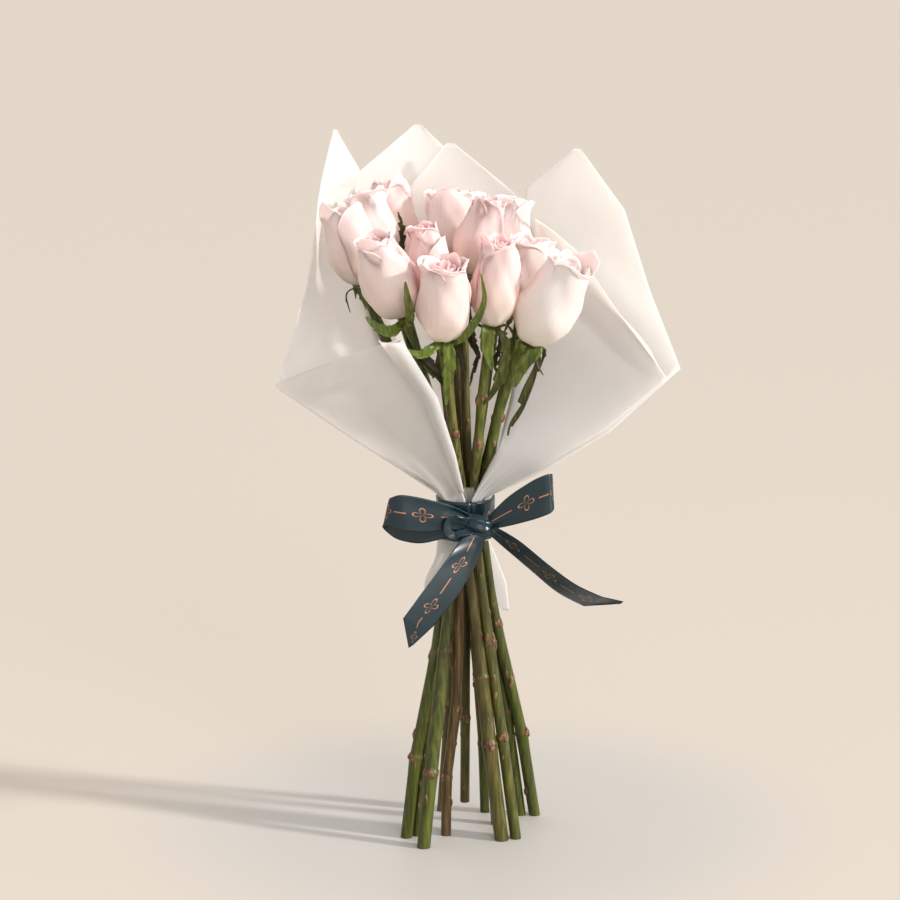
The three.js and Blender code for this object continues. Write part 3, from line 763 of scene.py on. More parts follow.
# %% Model a bud
deselect()
bpy.ops.mesh.primitive_uv_sphere_add(segments=10, ring_count=8, radius=MM)
bud_shape = bpy.context.object
bpy.ops.object.mode_set(mode="EDIT")
bpy.ops.mesh.select_all(action="SELECT")
bpy.ops.transform.resize(value=(1.0, 1.5, 2.0))
bpy.ops.object.mode_set(mode="OBJECT")
for vertex in bud_shape.data.vertices:
    rise = max(0.0, vertex.co.z / (2 * MM))
    vertex.co.x = vertex.co.x * (1 - 0.45 * rise) - 0.5 * MM * rise
    vertex.co.y *= 1 - 0.65 * rise
print("bud", len(bud_shape.data.polygons), "faces")


def place_copy(shape, place, turn, size, tall=1.0):
    copy = shape.copy()
    copy.data = shape.data.copy()
    bpy.context.collection.objects.link(copy)
    copy.matrix_world = (Matrix.Translation(Vector(place) * MM)
                         @ Matrix.Rotation(math.radians(turn), 4, "Z")
                         @ Matrix.Diagonal((size, size, size * tall, 1)))
    return copy


# %% [markdown]
# ## Sepals
#
# Five narrow green leaves held the bud shut, and now bend down from under the bloom. Their
# edges carry thin side lobes. The form walks along the middle of the sepal, turning
# from outwards to downwards, and spreads the width to both sides of it.


# %% The form of a sepal
SEPAL_RISE = 35
SEPAL_ROOT = (-2.2, 3.4)
SEPAL_HALF = 2.3
ROOT_SHARE = 0.45
SEPAL_EDGE = 0.15
SEPAL_STEPS = 39
LOBES = ((0.9, 0.42, 0.05), (0.7, 0.62, 0.04))


def follow(shares, known, points):
    return np.stack([np.interp(shares, known, points[:, k]) for k in range(3)], axis=-1)


def sepal_form(base, axis, turn, length, droop, twist):
    outward = lean_to(axis) @ np.array([math.cos(math.radians(turn)), math.sin(math.radians(turn)), 0])
    across_way = np.cross(outward, axis)
    shares = np.linspace(0, 1, SEPAL_STEPS + 1)
    bend = np.radians(SEPAL_RISE - (SEPAL_RISE + droop) * smoothstep(shares * 1.5))
    steps = length / SEPAL_STEPS * (np.cos(bend)[:, None] * outward + np.sin(bend)[:, None] * axis)
    root = base + SEPAL_ROOT[0] * axis + SEPAL_ROOT[1] * outward
    spine = root + np.vstack([np.zeros(3), np.cumsum(steps[:-1], axis=0)])

    def form(across, along):
        side = 2 * across - 1
        lobes = sum(reach * np.exp(-((along - place) / spread) ** 2) for reach, place, spread in LOBES)
        body = ROOT_SHARE + 1.6 * along * (1 - along) * 2
        half = SEPAL_HALF * (1 - along) ** 0.8 * body + lobes + SEPAL_EDGE
        angle = np.interp(along, shares, bend)
        facing = -np.sin(angle)[:, None] * outward + np.cos(angle)[:, None] * axis
        turned = np.radians(twist) * along
        way = np.cos(turned)[:, None] * across_way + np.sin(turned)[:, None] * facing
        cup = 0.22 * half * side ** 2
        return follow(along, shares, spine) + (side * half)[:, None] * way + cup[:, None] * facing
    return form


print("a sepal is", 2 * (SEPAL_HALF * ROOT_SHARE + SEPAL_EDGE), "mm wide at its root")

# %% [markdown]
# The sepals and small leaves in front are the ones that a viewer sees, and each hangs or
# stands in a way of its own. Their middle lines are short lists of points.

# %% Leaves in front
# Some leaves are darkened because they stand in shade among the stems: painted shade.
FRONT_LEAVES = {
    "b": [dict(spine=[(-47.0, 20.0, 361.2), (-45.1, 14.0, 370.9), (-44.9, 8.0, 381.7),
                      (-45.5, 6.0, 388.2), (-47.3, 5.0, 394.5)],
               half=1.5, teeth=1.2, dark=0.9)],
    "c": [dict(spine=[(-1.4, 0.0, 322.2), (-0.2, -6.0, 314.5), (1.7, -8.0, 307.4),
                      (-1.4, -8.0, 297.4), (-3.2, -6.0, 288.3)],
               half=1.3, teeth=0.8, dark=0.9)],
    "g": [dict(spine=[(-11.8, -8.0, 318.6), (-10.0, -12.0, 310.7), (-7.5, -12.0, 302.0),
                      (-6.3, -10.0, 290.3)],
               half=1.9, teeth=0.5, dark=0.8)],
    "i": [dict(spine=[(15.2, -5.0, 324.3), (15.1, -12.0, 315.0), (12.0, -14.0, 304.8), (13.3, -14.0, 297.4)],
               half=1.5, teeth=0.9, dark=0.85)],
    "k": [dict(spine=[(22.4, -14.0, 319.7), (18.6, -20.0, 312.2), (15.6, -22.0, 301.4),
                      (12.0, -22.0, 290.2), (6.5, -20.0, 280.5)],
               half=2.8, teeth=0.5, fresh=0.25, dark=0.3)],
    "e": [dict(spine=[(-25, -4, 340), (-21, -8, 332), (-19, -9, 320), (-22, -10, 306), (-26, -11, 294)],
               half=3.0, teeth=0.5, fresh=0.1, dark=0.7)],
    "h": [dict(spine=[(-2, 10, 350), (-5, 5, 342), (-6, 1, 330), (-3, -2, 318), (2, -4, 306)],
               half=3.4, teeth=0.6, dark=0.9)],
    "d": [dict(spine=[(-41, -33, 334), (-40, -46, 335), (-39.5, -53, 343), (-41, -57, 353), (-42, -60, 362)],
               half=2.7, teeth=0.1, fresh=0.35),
          dict(spine=[(-43, -33, 334), (-50, -41, 329), (-58, -44, 331), (-66, -44, 338)],
               half=3.4, teeth=0.25, fresh=0.9),
          dict(spine=[(-41.6, -24.0, 321.6), (-36.1, -27.0, 313.5), (-28.8, -29.0, 306.5),
                      (-21.6, -30.0, 298.6), (-16.1, -30.0, 289.3)],
               half=3.7, teeth=0.35, dark=0.9)],
    "f": [dict(spine=[(-15, -40, 321), (-9, -48, 325), (-4, -50, 331), (2, -53, 341),
                      (5, -54, 351), (3, -55, 366)],
               half=2.4, teeth=0.08, fresh=0.6),
          dict(spine=[(-18, -41, 323), (-16.5, -45, 319), (-16, -43, 308), (-17, -39, 297), (-18, -34, 282)],
               half=3.7, teeth=0.3, fresh=0.75),
          dict(spine=[(-21, -41, 323), (-27, -48, 319), (-34, -49, 316), (-41, -49, 319)],
               half=3.0, teeth=0.2, fresh=0.9)],
    "j": [dict(spine=[(8, -36, 331), (7, -41, 328), (7, -40, 317), (10, -36, 304)],
               half=4.3, teeth=0.2, fresh=0.5),
          dict(spine=[(12, -35, 330), (17, -38, 324), (18, -35, 313), (15, -30, 296), (5, -24, 280)],
               half=2.7, teeth=0.6, fresh=0.1, dark=0.35)],
    "l": [dict(spine=[(32, -29, 319), (36, -35, 316), (29, -33, 306), (24, -28, 292)],
               half=3.9, teeth=0.12, fresh=0.6),
          dict(spine=[(33, -27, 317), (38, -28, 313), (37, -27, 305), (34, -26, 294), (28, -23, 279),
                      (22, -21, 268), (20, -20, 260)],
               half=1.7, teeth=1.7, cuts=4, dark=0.65),
          dict(spine=[(36.9, -27, 309.4), (38.2, -28, 304.7), (41.2, -28, 299.2)],
               half=0.7, teeth=0.0, dark=0.6)],
}
print(sum(map(len, FRONT_LEAVES.values())), "leaves in front")

# %% [markdown]
# The form of such a leaf runs smoothly through its points. The blade is spread to both
# sides of the line, folded a little along its midrib, and its edge is cut by a saw wave.

# %% The form of a leaf in front
LEAF_FACING = np.array([0.15, -1.0, 0.35])
LEAF_TEETH = 7


def blend(before, start, end, after, share):
    return 0.5 * (2 * start + share * (end - before)
                  + share ** 2 * (2 * before - 5 * start + 4 * end - after)
                  + share ** 3 * (3 * start - before - 3 * end + after))


def along_rows(rows, along):
    place = along * (len(rows) - 1)
    low = np.clip(place.astype(int), 0, len(rows) - 2)
    share = (place - low).reshape(-1, *[1] * (rows.ndim - 1))
    return blend(rows[np.maximum(low - 1, 0)], rows[low], rows[low + 1],
                 rows[np.minimum(low + 2, len(rows) - 1)], share)


def leaf_form(leaf):
    points = np.array(leaf["spine"], float) + BUNCH_SHIFT
    shares = np.linspace(0, 1, 80)
    line = along_rows(points, shares)
    tangents = np.gradient(line, axis=0)
    tangents /= np.linalg.norm(tangents, axis=1)[:, None]

    def form(across, along):
        side = 2 * across - 1
        tangent = follow(along, shares, tangents)
        facing = LEAF_FACING - (tangent @ LEAF_FACING)[:, None] * tangent
        facing /= np.linalg.norm(facing, axis=1)[:, None]
        body = 0.12 + 0.88 * np.sin(math.pi * np.clip(along, 0, 1) ** 0.8) ** 0.9
        tooth = leaf.get("cuts", LEAF_TEETH) * along + 0.5 * np.sin(5 * along) + 0.45 * (side > 0)
        saw = 1 + leaf["teeth"] * (tooth % 1 - 0.35) * (1 + 0.6 * np.sin(11 * along + 2 * (side > 0)))
        reach = leaf["half"] * body * saw
        fold = 0.3 * reach * np.abs(side) ** 1.5
        spread = (side * reach)[:, None] * np.cross(tangent, facing)
        return follow(along, shares, line) + spread + fold[:, None] * facing
    return form


print("the widest leaf is", 2 * max(leaf["half"] for leaf in sum(FRONT_LEAVES.values(), [])), "mm wide")

# %% [markdown]
# A bloom that has leaves in front gets fewer sepals of the common kind. Near the paper the
# sepals are short, so that none of them comes through it. Two attributes say how fresh a
# leaf is and how much painted shade it carries, where it stands in shade among the stems.

# %% Sepals and leaves of one bloom
SEPAL_THICKNESS = 0.45
SEPALS = 5
SEPAL_LENGTH = 19
SHORT_SEPAL = 9
PAPER_NEAR_Y = 25


def model_sepals(letter, rose, draw):
    base, axis, _ = bloom_axis(rose)
    in_front = FRONT_LEAVES.get(letter, [])
    first = 30 if in_front else 360 * next(draw)
    parts = []
    for leaf in in_front:
        blade = shaped_grid(6, 84, leaf_form(leaf))
        mark_points(blade, "fresh", leaf.get("fresh", 0.0))
        # Painted shade for a leaf that stands in shade among the stems.
        mark_points(blade, "dark", leaf.get("dark", 0.0))
        parts.append(blade)
    for index in range(SEPALS - len(in_front)):
        droop = 45 + 45 * next(draw)
        length = SHORT_SEPAL if rose["base"][1] > PAPER_NEAR_Y else SEPAL_LENGTH
        length *= 1 + 0.37 * next(draw)
        form = sepal_form(base, axis, first + 72 * index, length, droop, 50 * (next(draw) - 0.5))
        blade = shaped_grid(4, 26, form)
        mark_points(blade, "fresh", 0.5 * next(draw))
        parts.append(blade)
    for blade in parts:
        apply_modifier(blade, "SOLIDIFY", thickness=SEPAL_THICKNESS * MM, offset=0)
    return parts


print(sum(max(SEPALS, len(FRONT_LEAVES.get(letter, []))) for letter in ROSES), "sepals and leaves")

# %% [markdown]
# ## Stem finish
#
# The stems are fresh green near the cut and under the bloom and darker between, with long
# streaks. The darkening between, and on each stem's left side away from the sun, is
# painted shade. The streaks are a noise on the object's own coordinates that is stretched
# upwards. Three point attributes say where the skin is fresh, where it is brown like bark,
# and where shade is painted on it.

# %% Stem finish
stem_finish, stem_shader = start_material(
    "stem_green", Roughness=0.36, Specular_IOR_Level=0.35, Subsurface_Weight=0.05, Subsurface_Scale=0.001)
streaks = noise(stem_finish, object_place(stem_finish, (1, 1, 0.06)), 500)
patches = noise(stem_finish, object_place(stem_finish, (1, 1, 0.25)), 45)
green_tone = ramp(stem_finish, streaks, [
    (0.3, (0.028, 0.036, 0.003)), (0.5, (0.054, 0.065, 0.005)), (0.7, (0.092, 0.104, 0.009))])
brown_tone = ramp(stem_finish, streaks, [
    (0.3, (0.060, 0.024, 0.012)), (0.5, (0.13, 0.056, 0.026)), (0.7, (0.28, 0.155, 0.08))])
# A dark green that serves two ends: random dark patches of the skin, and painted shade.
dark_tone = ramp(stem_finish, streaks, [
    (0.3, (0.014, 0.015, 0.003)), (0.5, (0.028, 0.028, 0.006)), (0.7, (0.052, 0.048, 0.011))])
fresh_tone = ramp(stem_finish, streaks, [
    (0.3, (0.052, 0.078, 0.008)), (0.5, (0.100, 0.145, 0.016)), (0.7, (0.19, 0.245, 0.042))])
patch_share = ramp(stem_finish, patches, [(0.5, (0, 0, 0)), (0.7, (0.5, 0.5, 0.5))])
stem_tone = mix(stem_finish, patch_share, green_tone, dark_tone)
# Painted shade: each point is mixed towards the dark tone by its shade share.
stem_tone = mix(stem_finish, point_share(stem_finish, "dark"), stem_tone, dark_tone)
stem_tone = mix(stem_finish, point_share(stem_finish, "fresh"), stem_tone, fresh_tone)
specks = noise(stem_finish, object_place(stem_finish, (1, 1, 0.5)), 330, 2.0)
flecks = ramp(stem_finish, specks, [(0.64, (0, 0, 0)), (0.72, (0.7, 0.7, 0.7))])
stem_tone = mix(stem_finish, flecks, stem_tone, brown_tone)
stem_tone = mix(stem_finish, point_share(stem_finish, "bark"), stem_tone, brown_tone)
link(stem_finish, stem_tone, stem_shader.inputs["Base Color"])
bump(stem_finish, stem_shader, streaks, 0.0003, 0.2)
print(stem_finish.name, len(stem_finish.node_tree.nodes), "nodes")

# %% [markdown]
# Where the skin is brown or fresh, and where shade is painted on it, can't be told from its
# place alone, so each point of a stem gets three shares. Bark goes round every node, and
# most at the side of its bud. Every stem is fresh just under its bloom, and the young ones
# also further down. All get painted shade round the tie, a weaker band of it in the wrap
# below the blooms, and painted shade on their left side, which faces away from the sun.

# %% Mark the skin of a stem
RUDDY = {"b": 0.2, "c": 0.15, "e": 0.6, "f": 0.25, "g": 0.35, "h": 0.3, "j": 0.1}
YOUNG_STEMS = "dfjl"
YOUNG_SHARE = 0.38
OLD_SHARE = 0.1
YOUNG_Z = 225
# Painted shade: a band round the tie at this height and reach, and SHADED_SIDE is the painted shade on the
# left side of each stem.
TIE_SHADE_Z = 165
TIE_SHADE_REACH = 62
BLOOM_Z = 330
SHADED_SIDE = 0.7


def side_place(line, z, turn, sink=0.0):
    x, y, _, radius = line[np.argmin(np.abs(line[:, 2] - z))]
    reach = radius - sink
    return (x + reach * math.cos(math.radians(turn)), y + reach * math.sin(math.radians(turn)), z)


def mark_stem(stem, letter, line):
    places = point_places(stem) / MM
    heights = places[:, 2]
    bark = np.full(len(heights), RUDDY.get(letter, 0.0))
    for z, turn in STEM_NODES[letter]:
        x, y, _ = side_place(line, z, turn, 30)
        toward = (places[:, 0] - x) ** 2 + (places[:, 1] - y) ** 2
        facing = smoothstep((np.sqrt(toward) - 28) / 5)
        round_node = np.exp(-((heights - z - 0.5) / (1.2 + 2 * facing)) ** 2)
        bark = np.maximum(bark, (0.35 + 0.6 * facing) * round_node)
    mark_points(stem, "bark", bark)
    young = YOUNG_SHARE if letter in YOUNG_STEMS else OLD_SHARE
    near_bloom = smoothstep((heights - heights.max() + 14) / 10)
    fresh = np.maximum(young * smoothstep((heights - YOUNG_Z) / 30), near_bloom)
    mark_points(stem, "fresh", 0.8 * fresh + 0.15)
    middle, radius = (np.interp(heights, line[:, 2], line[:, column]) for column in (0, 3))
    # Painted shade: darker round the tie, in the wrap below the blooms, and on the left side of each stem,
    # which faces away from the sun.
    dark = 0.95 * np.exp(-((heights - TIE_SHADE_Z) / TIE_SHADE_REACH) ** 2)
    shaded = smoothstep((heights - TIE_SHADE_Z) / 20) * smoothstep((BLOOM_Z - heights) / 60)
    shade_at_left = SHADED_SIDE * smoothstep(1.2 * ((middle - places[:, 0]) / radius))
    mark_points(stem, "dark", np.maximum(np.maximum(dark, 0.6 * shaded), shade_at_left))


print(len(YOUNG_STEMS), "young stems and", len(ROSES) - len(YOUNG_STEMS), "old ones")

# %% [markdown]
# ## Stems and leaves
#
# Each stem is a rod with its foot cut flat. A node gets a bud with two small scales beside
# it. Between the nodes the skin has small scars where prickles broke off. They are
# shrunken copies of the bud, pressed half into the stem, and more of them face the front.

# %% Model the stems
SCARS = 9
BUD_SCALES = ((1.5, 0, 1.3), (-0.8, 24, 0.9), (0.4, -28, 0.8))


def model_buds(letter, line, draw):
    buds = []
    for z, turn in STEM_NODES[letter]:
        for rise, round_by, size in BUD_SCALES:
            place = side_place(line, z + rise, turn + round_by, 0.2)
            bud = place_copy(bud_shape, place, turn + round_by, size * (0.8 + 0.6 * next(draw)))
            mark_points(bud, "bark", 0.95)
            buds.append(bud)
    return buds


def model_scars(line, draw):
    scars = []
    for _ in range(SCARS):
        z = 18 + 270 * next(draw)
        turn = -90 + 200 * (next(draw) - 0.5)
        size = 0.6 + 0.6 * next(draw)
        scar = place_copy(bud_shape, side_place(line, z, turn, 0.25), turn, size, 1.7)
        mark_points(scar, "bark", 0.7 + 0.3 * next(draw))
        scars.append(scar)
    return scars


for letter, rose in ROSES.items():
    draw = seeded(501 + 29 * ROSE_ORDER[letter])
    line = stem_line(letter, rose)
    stem = rod(line, f"stem_{letter}")
    cut_flat(stem, line[0, 2])
    mark_stem(stem, letter, line)
    parts = [stem, *model_buds(letter, line, draw), *model_scars(line, draw)]
    parts += model_sepals(letter, rose, draw)
    dress(join_pieces(parts, f"stem_{letter}"), stem_finish, f"rose_{letter}_stem")
bpy.data.objects.remove(bud_shape)

# %% [markdown]
# ## The paper wrap
#
# Five plies of white paper stand round the roses. Each row below names the two edges of a
# ply at one height and how far it bulges between them. Between the rows the inner part of
# the sheet follows a smooth curve, while the two edges stay straight, because a cut edge
# of paper is straight and its corners are sharp. The left ply ends low at the front. A
# tall leaf stands behind it, which shows its lit inner face beside the blooms.

# %% Rows of the plies
TIE_CENTRE = np.array([-6.0, 0.0])
TIE_Z = 205
BAND_HEIGHT = 25
PLY_RADIUS = 15
PAPER_THICKNESS = 0.6
PLY_STEP = 0.9
PLIES = {
    "wrap_left": dict(
        layer=2, arc=(183, 270),
        skirt=[((-28, 1, 147), (-25, -8, 147), 0), ((-31, 6, 160), (-24, -16, 160), 3),
               ((-24, 4, 178), (-15, -18, 178), 4)],
        rows=[((-45, -11, 236), (-15, -28, 246), 3), ((-78, -13, 258), (-26, -39, 280), 5),
              ((-119, -12, 286), (-42, -51, 318), 7), ((-123, -12, 290), (-46, -53, 326), 7)]),
    "wrap_back_left": dict(
        layer=1, arc=(180, 92), skirt=[],
        rows=[((-36, 8, 242), (-4, 28, 242), 2), ((-50, 20, 264), (-4, 40, 265), 5),
              ((-61, 38, 302), (-3, 56, 302), 8), ((-78, 55, 346), (-3, 76, 346), 12),
              ((-81, 58, 380), (-8, 85, 384), 11), ((-78, 66, 407), (-17, 90, 422), 5),
              ((-38, 91, 438), (-34, 92, 438), 0)]),
    "wrap_back": dict(
        layer=0, arc=(110, 34),
        skirt=[((18, 25, 137), (22, 23, 137), 0), ((2, 27, 156), (20, 21, 156), 1),
               ((-7, 22, 178), (12, 16, 178), 3)],
        rows=[((-12, 40, 290), (22, 38, 290), 4), ((-36, 64, 362), (40, 58, 362), 6),
              ((-42, 74, 400), (32, 67, 392), 4), ((-18, 77, 428), (-13, 77, 428), 0)]),
    "wrap_right": dict(
        layer=2, arc=(-46, 60), skirt=[],
        rows=[((45, -15, 238), (14, 30, 262), 3), ((83, -13, 261), (28, 50, 306), 7),
              ((126, -6, 299), (34, 62, 346), 10), ((108, 16, 344), (30, 67, 376), 7),
              ((93, 38, 391), (32, 72, 400), 4), ((66, 56, 427), (62, 57, 427), 0)]),
    "wrap_right_inner": dict(
        layer=1, arc=(-48, -76), skirt=[],
        rows=[((42, -18, 240), (14, -16, 251), 0), ((80, -18, 263), (22, 2, 280), 3),
              ((118, -15, 294), (32, 40, 340), 8), ((90, 13, 329), (37, 49, 366), 5),
              ((62, 35, 367), (37, 52, 384), 2)]),
}
TALL_LEAF = dict(
    layer=1, arc=(200, 184), skirt=[],
    rows=[((-44, -8, 238), (-32, 8, 240), 0), ((-77, -10, 261), (-44, 20, 262), 2),
          ((-121, -9, 293), (-52, 36, 300), 5), ((-113, 0, 320), (-62, 48, 324), 6),
          ((-104, 10, 346), (-70, 56, 350), 6), ((-99, 18, 378), (-74, 60, 384), 5),
          ((-97, 24, 398), (-75, 62, 401), 2), ((-95, 31, 411), (-72, 61, 413), 0),
          ((-88, 42, 441), (-86, 43, 440), 0)])
print(sum(len(ply["rows"]) for ply in PLIES.values()), "rows above the tie")

# %% [markdown]
# Under the band the paper is a ring of set radius. Just above it, small pleats run
# upwards, and higher up the sheet has soft ripples, because paper that is gathered can't
# lie quite smooth.

# %% The form of a ply
TIE_AXIS = np.array([*TIE_CENTRE, 0])
NECK_ENDS = (TIE_Z - BAND_HEIGHT / 2 - 1, TIE_Z + BAND_HEIGHT / 2 + 1)
PLEATS = 7
PLEAT_DEPTH = 0.35
PLEAT_Z = 234
PLEAT_REACH = 14
RIPPLE_DEPTH = 1.1
RIPPLE_FROM = 240
EDGE_SHARE = 0.16


def ply_line(row, shares):
    left, right, bulge = row
    left, right = np.array(left, float), np.array(right, float)
    middle = (left + right) / 2
    outward = np.array([middle[0], middle[1], 0]) / np.hypot(middle[0], middle[1])
    line = left + shares[:, None] * (right - left)
    return line + (4 * bulge * shares * (1 - shares))[:, None] * outward


def neck_line(ply, z, shares):
    radius = PLY_RADIUS + ply["layer"] * PLY_STEP + PAPER_THICKNESS / 2
    angle = np.radians(ply["arc"][0] + shares * (ply["arc"][1] - ply["arc"][0]))
    return round_axis(radius, angle, np.full(len(shares), float(z))) + TIE_AXIS


def ply_form(ply):
    def form(across, along):
        lines = [ply_line(row, across) for row in ply["skirt"]]
        lines += [neck_line(ply, z, across) for z in NECK_ENDS]
        lines += [ply_line(row, across) for row in ply["rows"]]
        lines = np.array(lines)
        place = along * (len(lines) - 1)
        low = np.clip(place.astype(int), 0, len(lines) - 2)
        share = (place - low)[:, None]
        pick = np.arange(len(across))
        before, start = lines[np.maximum(low - 1, 0), pick], lines[low, pick]
        end, after = lines[low + 1, pick], lines[np.minimum(low + 2, len(lines) - 1), pick]
        straight = start + share * (end - start)
        curved = blend(before, start, end, after, share)
        inner = smoothstep(np.minimum(across, 1 - across) / EDGE_SHARE)[:, None]
        placed = straight + inner * (curved - straight)
        gather = PLEAT_DEPTH * np.exp(-((placed[:, 2] - PLEAT_Z) / PLEAT_REACH) ** 2)
        gather *= np.sin(PLEATS * math.pi * across + ply["layer"]) * (placed[:, 2] > TIE_Z + BAND_HEIGHT / 2)
        ripple = np.sin(placed[:, 0] / 13 + placed[:, 2] / 31) * np.sin(placed[:, 2] / 19 + 0.8)
        gather += RIPPLE_DEPTH * ripple * inner[:, 0] * smoothstep((placed[:, 2] - RIPPLE_FROM) / 60)
        outward = (placed - TIE_AXIS) * [1, 1, 0]
        outward /= np.linalg.norm(outward, axis=1)[:, None]
        return placed + gather[:, None] * outward + BUNCH_SHIFT
    return form


print("the neck of the wrap goes from", *NECK_ENDS)

# %% [markdown]
# The front edge of the left ply rolls over as a slim scroll that widens upwards. It is a
# grid wound round a leaning line.

# %% The form of the scroll
SCROLL_CENTRES = np.array([(-8.5, -18.5, 224), (-15, -31, 250), (-28, -42, 288), (-51, -57, 326)])
SCROLL_RADII = np.array([1.5, 3, 5, 7])
SCROLL_TURNS = (70, -200)


def scroll_form(across, along):
    knots = np.linspace(0, 1, len(SCROLL_RADII))
    angle = np.radians(SCROLL_TURNS[0] + across * (SCROLL_TURNS[1] - SCROLL_TURNS[0]))
    ring = round_axis(np.interp(along, knots, SCROLL_RADII), angle, np.zeros(len(angle)))
    return follow(along, knots, SCROLL_CENTRES) + ring + BUNCH_SHIFT


print("the scroll is", 2 * SCROLL_RADII[-1], "mm wide at its top")

# %% [markdown]
# ## Paper finish
#
# The wrap is matte, nearly white, and lets some light through. Broad soft dents from
# handling and a fine fibre show on it. Both are noises that feed a bump. The tone follows
# the dent noise too and is a little darker where the dents sink, which is painted shade.

# %% Paper finish
paper_finish, paper_shader = start_material(
    "paper_white", Roughness=0.6, Subsurface_Weight=0.9, Subsurface_Scale=0.004,
    Specular_IOR_Level=0.25)
paper_shader.inputs["Subsurface Radius"].default_value = (1.0, 0.97, 0.93)
paper_place = object_place(paper_finish)
dents = noise(paper_finish, paper_place, 22, 2.0)
fibres = noise(paper_finish, paper_place, 900)
# Painted shade: the tone is a little darker where the dent noise is low, in the dents.
paper_tone_and_dent_shade = ramp(paper_finish, dents, [(0.3, (0.80, 0.76, 0.71)), (0.7, (0.845, 0.81, 0.76))])
link(paper_finish, paper_tone_and_dent_shade, paper_shader.inputs["Base Color"])
paper_height = mix(paper_finish, 0.04, dents, fibres)
bump(paper_finish, paper_shader, paper_height, 0.004, 0.35)
print(paper_finish.name, len(paper_finish.node_tree.nodes), "nodes")

# %% [markdown]
# ## Plies
#
# Each ply is one grid through all its rows. The scroll and the tall leaf are joined to the
# left ply, because on the real wrap they are the same sheet.

# %% Model the plies
PLY_SHEET = 0.3
for node, ply in PLIES.items():
    rows = len(ply["skirt"]) + 1 + len(ply["rows"])
    parts = [shaped_grid(24, rows * 8, ply_form(ply))]
    if node == "wrap_left":
        parts.append(shaped_grid(24, 30, scroll_form))
        parts.append(shaped_grid(12, 96, ply_form(TALL_LEAF)))
    paper = join_pieces(parts, node.replace("wrap", "paper"))
    apply_modifier(paper, "SOLIDIFY", thickness=PLY_SHEET * MM, offset=0)
    dress(paper, paper_finish, node)

# %% [markdown]
# ## Clear tape
#
# A turn of clear tape holds the stems above the ribbon. It starts as a cylinder whose caps
# are left out. The wrinkles that catch the light are a strong bump, since the tape itself
# is nearly flat.

# %% Tape finish
tape_finish, tape_shader = start_material(
    "tape_clear", Base_Color=(0.80, 0.80, 0.76, 1), Roughness=0.08, Specular_IOR_Level=0.9, Alpha=0.14)
tape_creases = noise(tape_finish, object_place(tape_finish, (1, 1, 0.5)), 320)
bump(tape_finish, tape_shader, tape_creases, 0.0015, 0.8)
print(tape_finish.name, len(tape_finish.node_tree.nodes), "nodes")

# %% Model the tape
TAPE_RADIUS = 14.2
TAPE_HEIGHT = 14
TAPE_Z = 219
TAPE_THICKNESS = 0.12
deselect()
bpy.ops.mesh.primitive_cylinder_add(
    vertices=64, radius=TAPE_RADIUS * MM, depth=TAPE_HEIGHT * MM, end_fill_type="NOTHING",
    location=((TIE_CENTRE[0] + BUNCH_SHIFT[0]) * MM, BUNCH_SHIFT[1] * MM, TAPE_Z * MM))
tape = bpy.context.object
bpy.ops.object.mode_set(mode="EDIT")
bpy.ops.mesh.select_all(action="SELECT")
bpy.ops.mesh.subdivide(number_cuts=4)
bpy.ops.object.mode_set(mode="OBJECT")
tape = join_pieces([tape], "clear_tape")
apply_modifier(tape, "SOLIDIFY", thickness=TAPE_THICKNESS * MM, offset=0)
dress(tape, tape_finish, "binding_tape")

# %% [markdown]
# ## Ribbon
#
# The ribbon is 25 mm wide satin. It goes once round the neck of the wrap and is tied in a
# bow at the front: two loops, a small curl at the knot and two tails. Each stretch is named
# by pairs of points on its lower and its upper edge, and a smooth curve joins them. The
# tails show narrower than the ribbon is, so one of their edges lies nearer to the viewer.
# The last pair of a tail is its slanted cut.

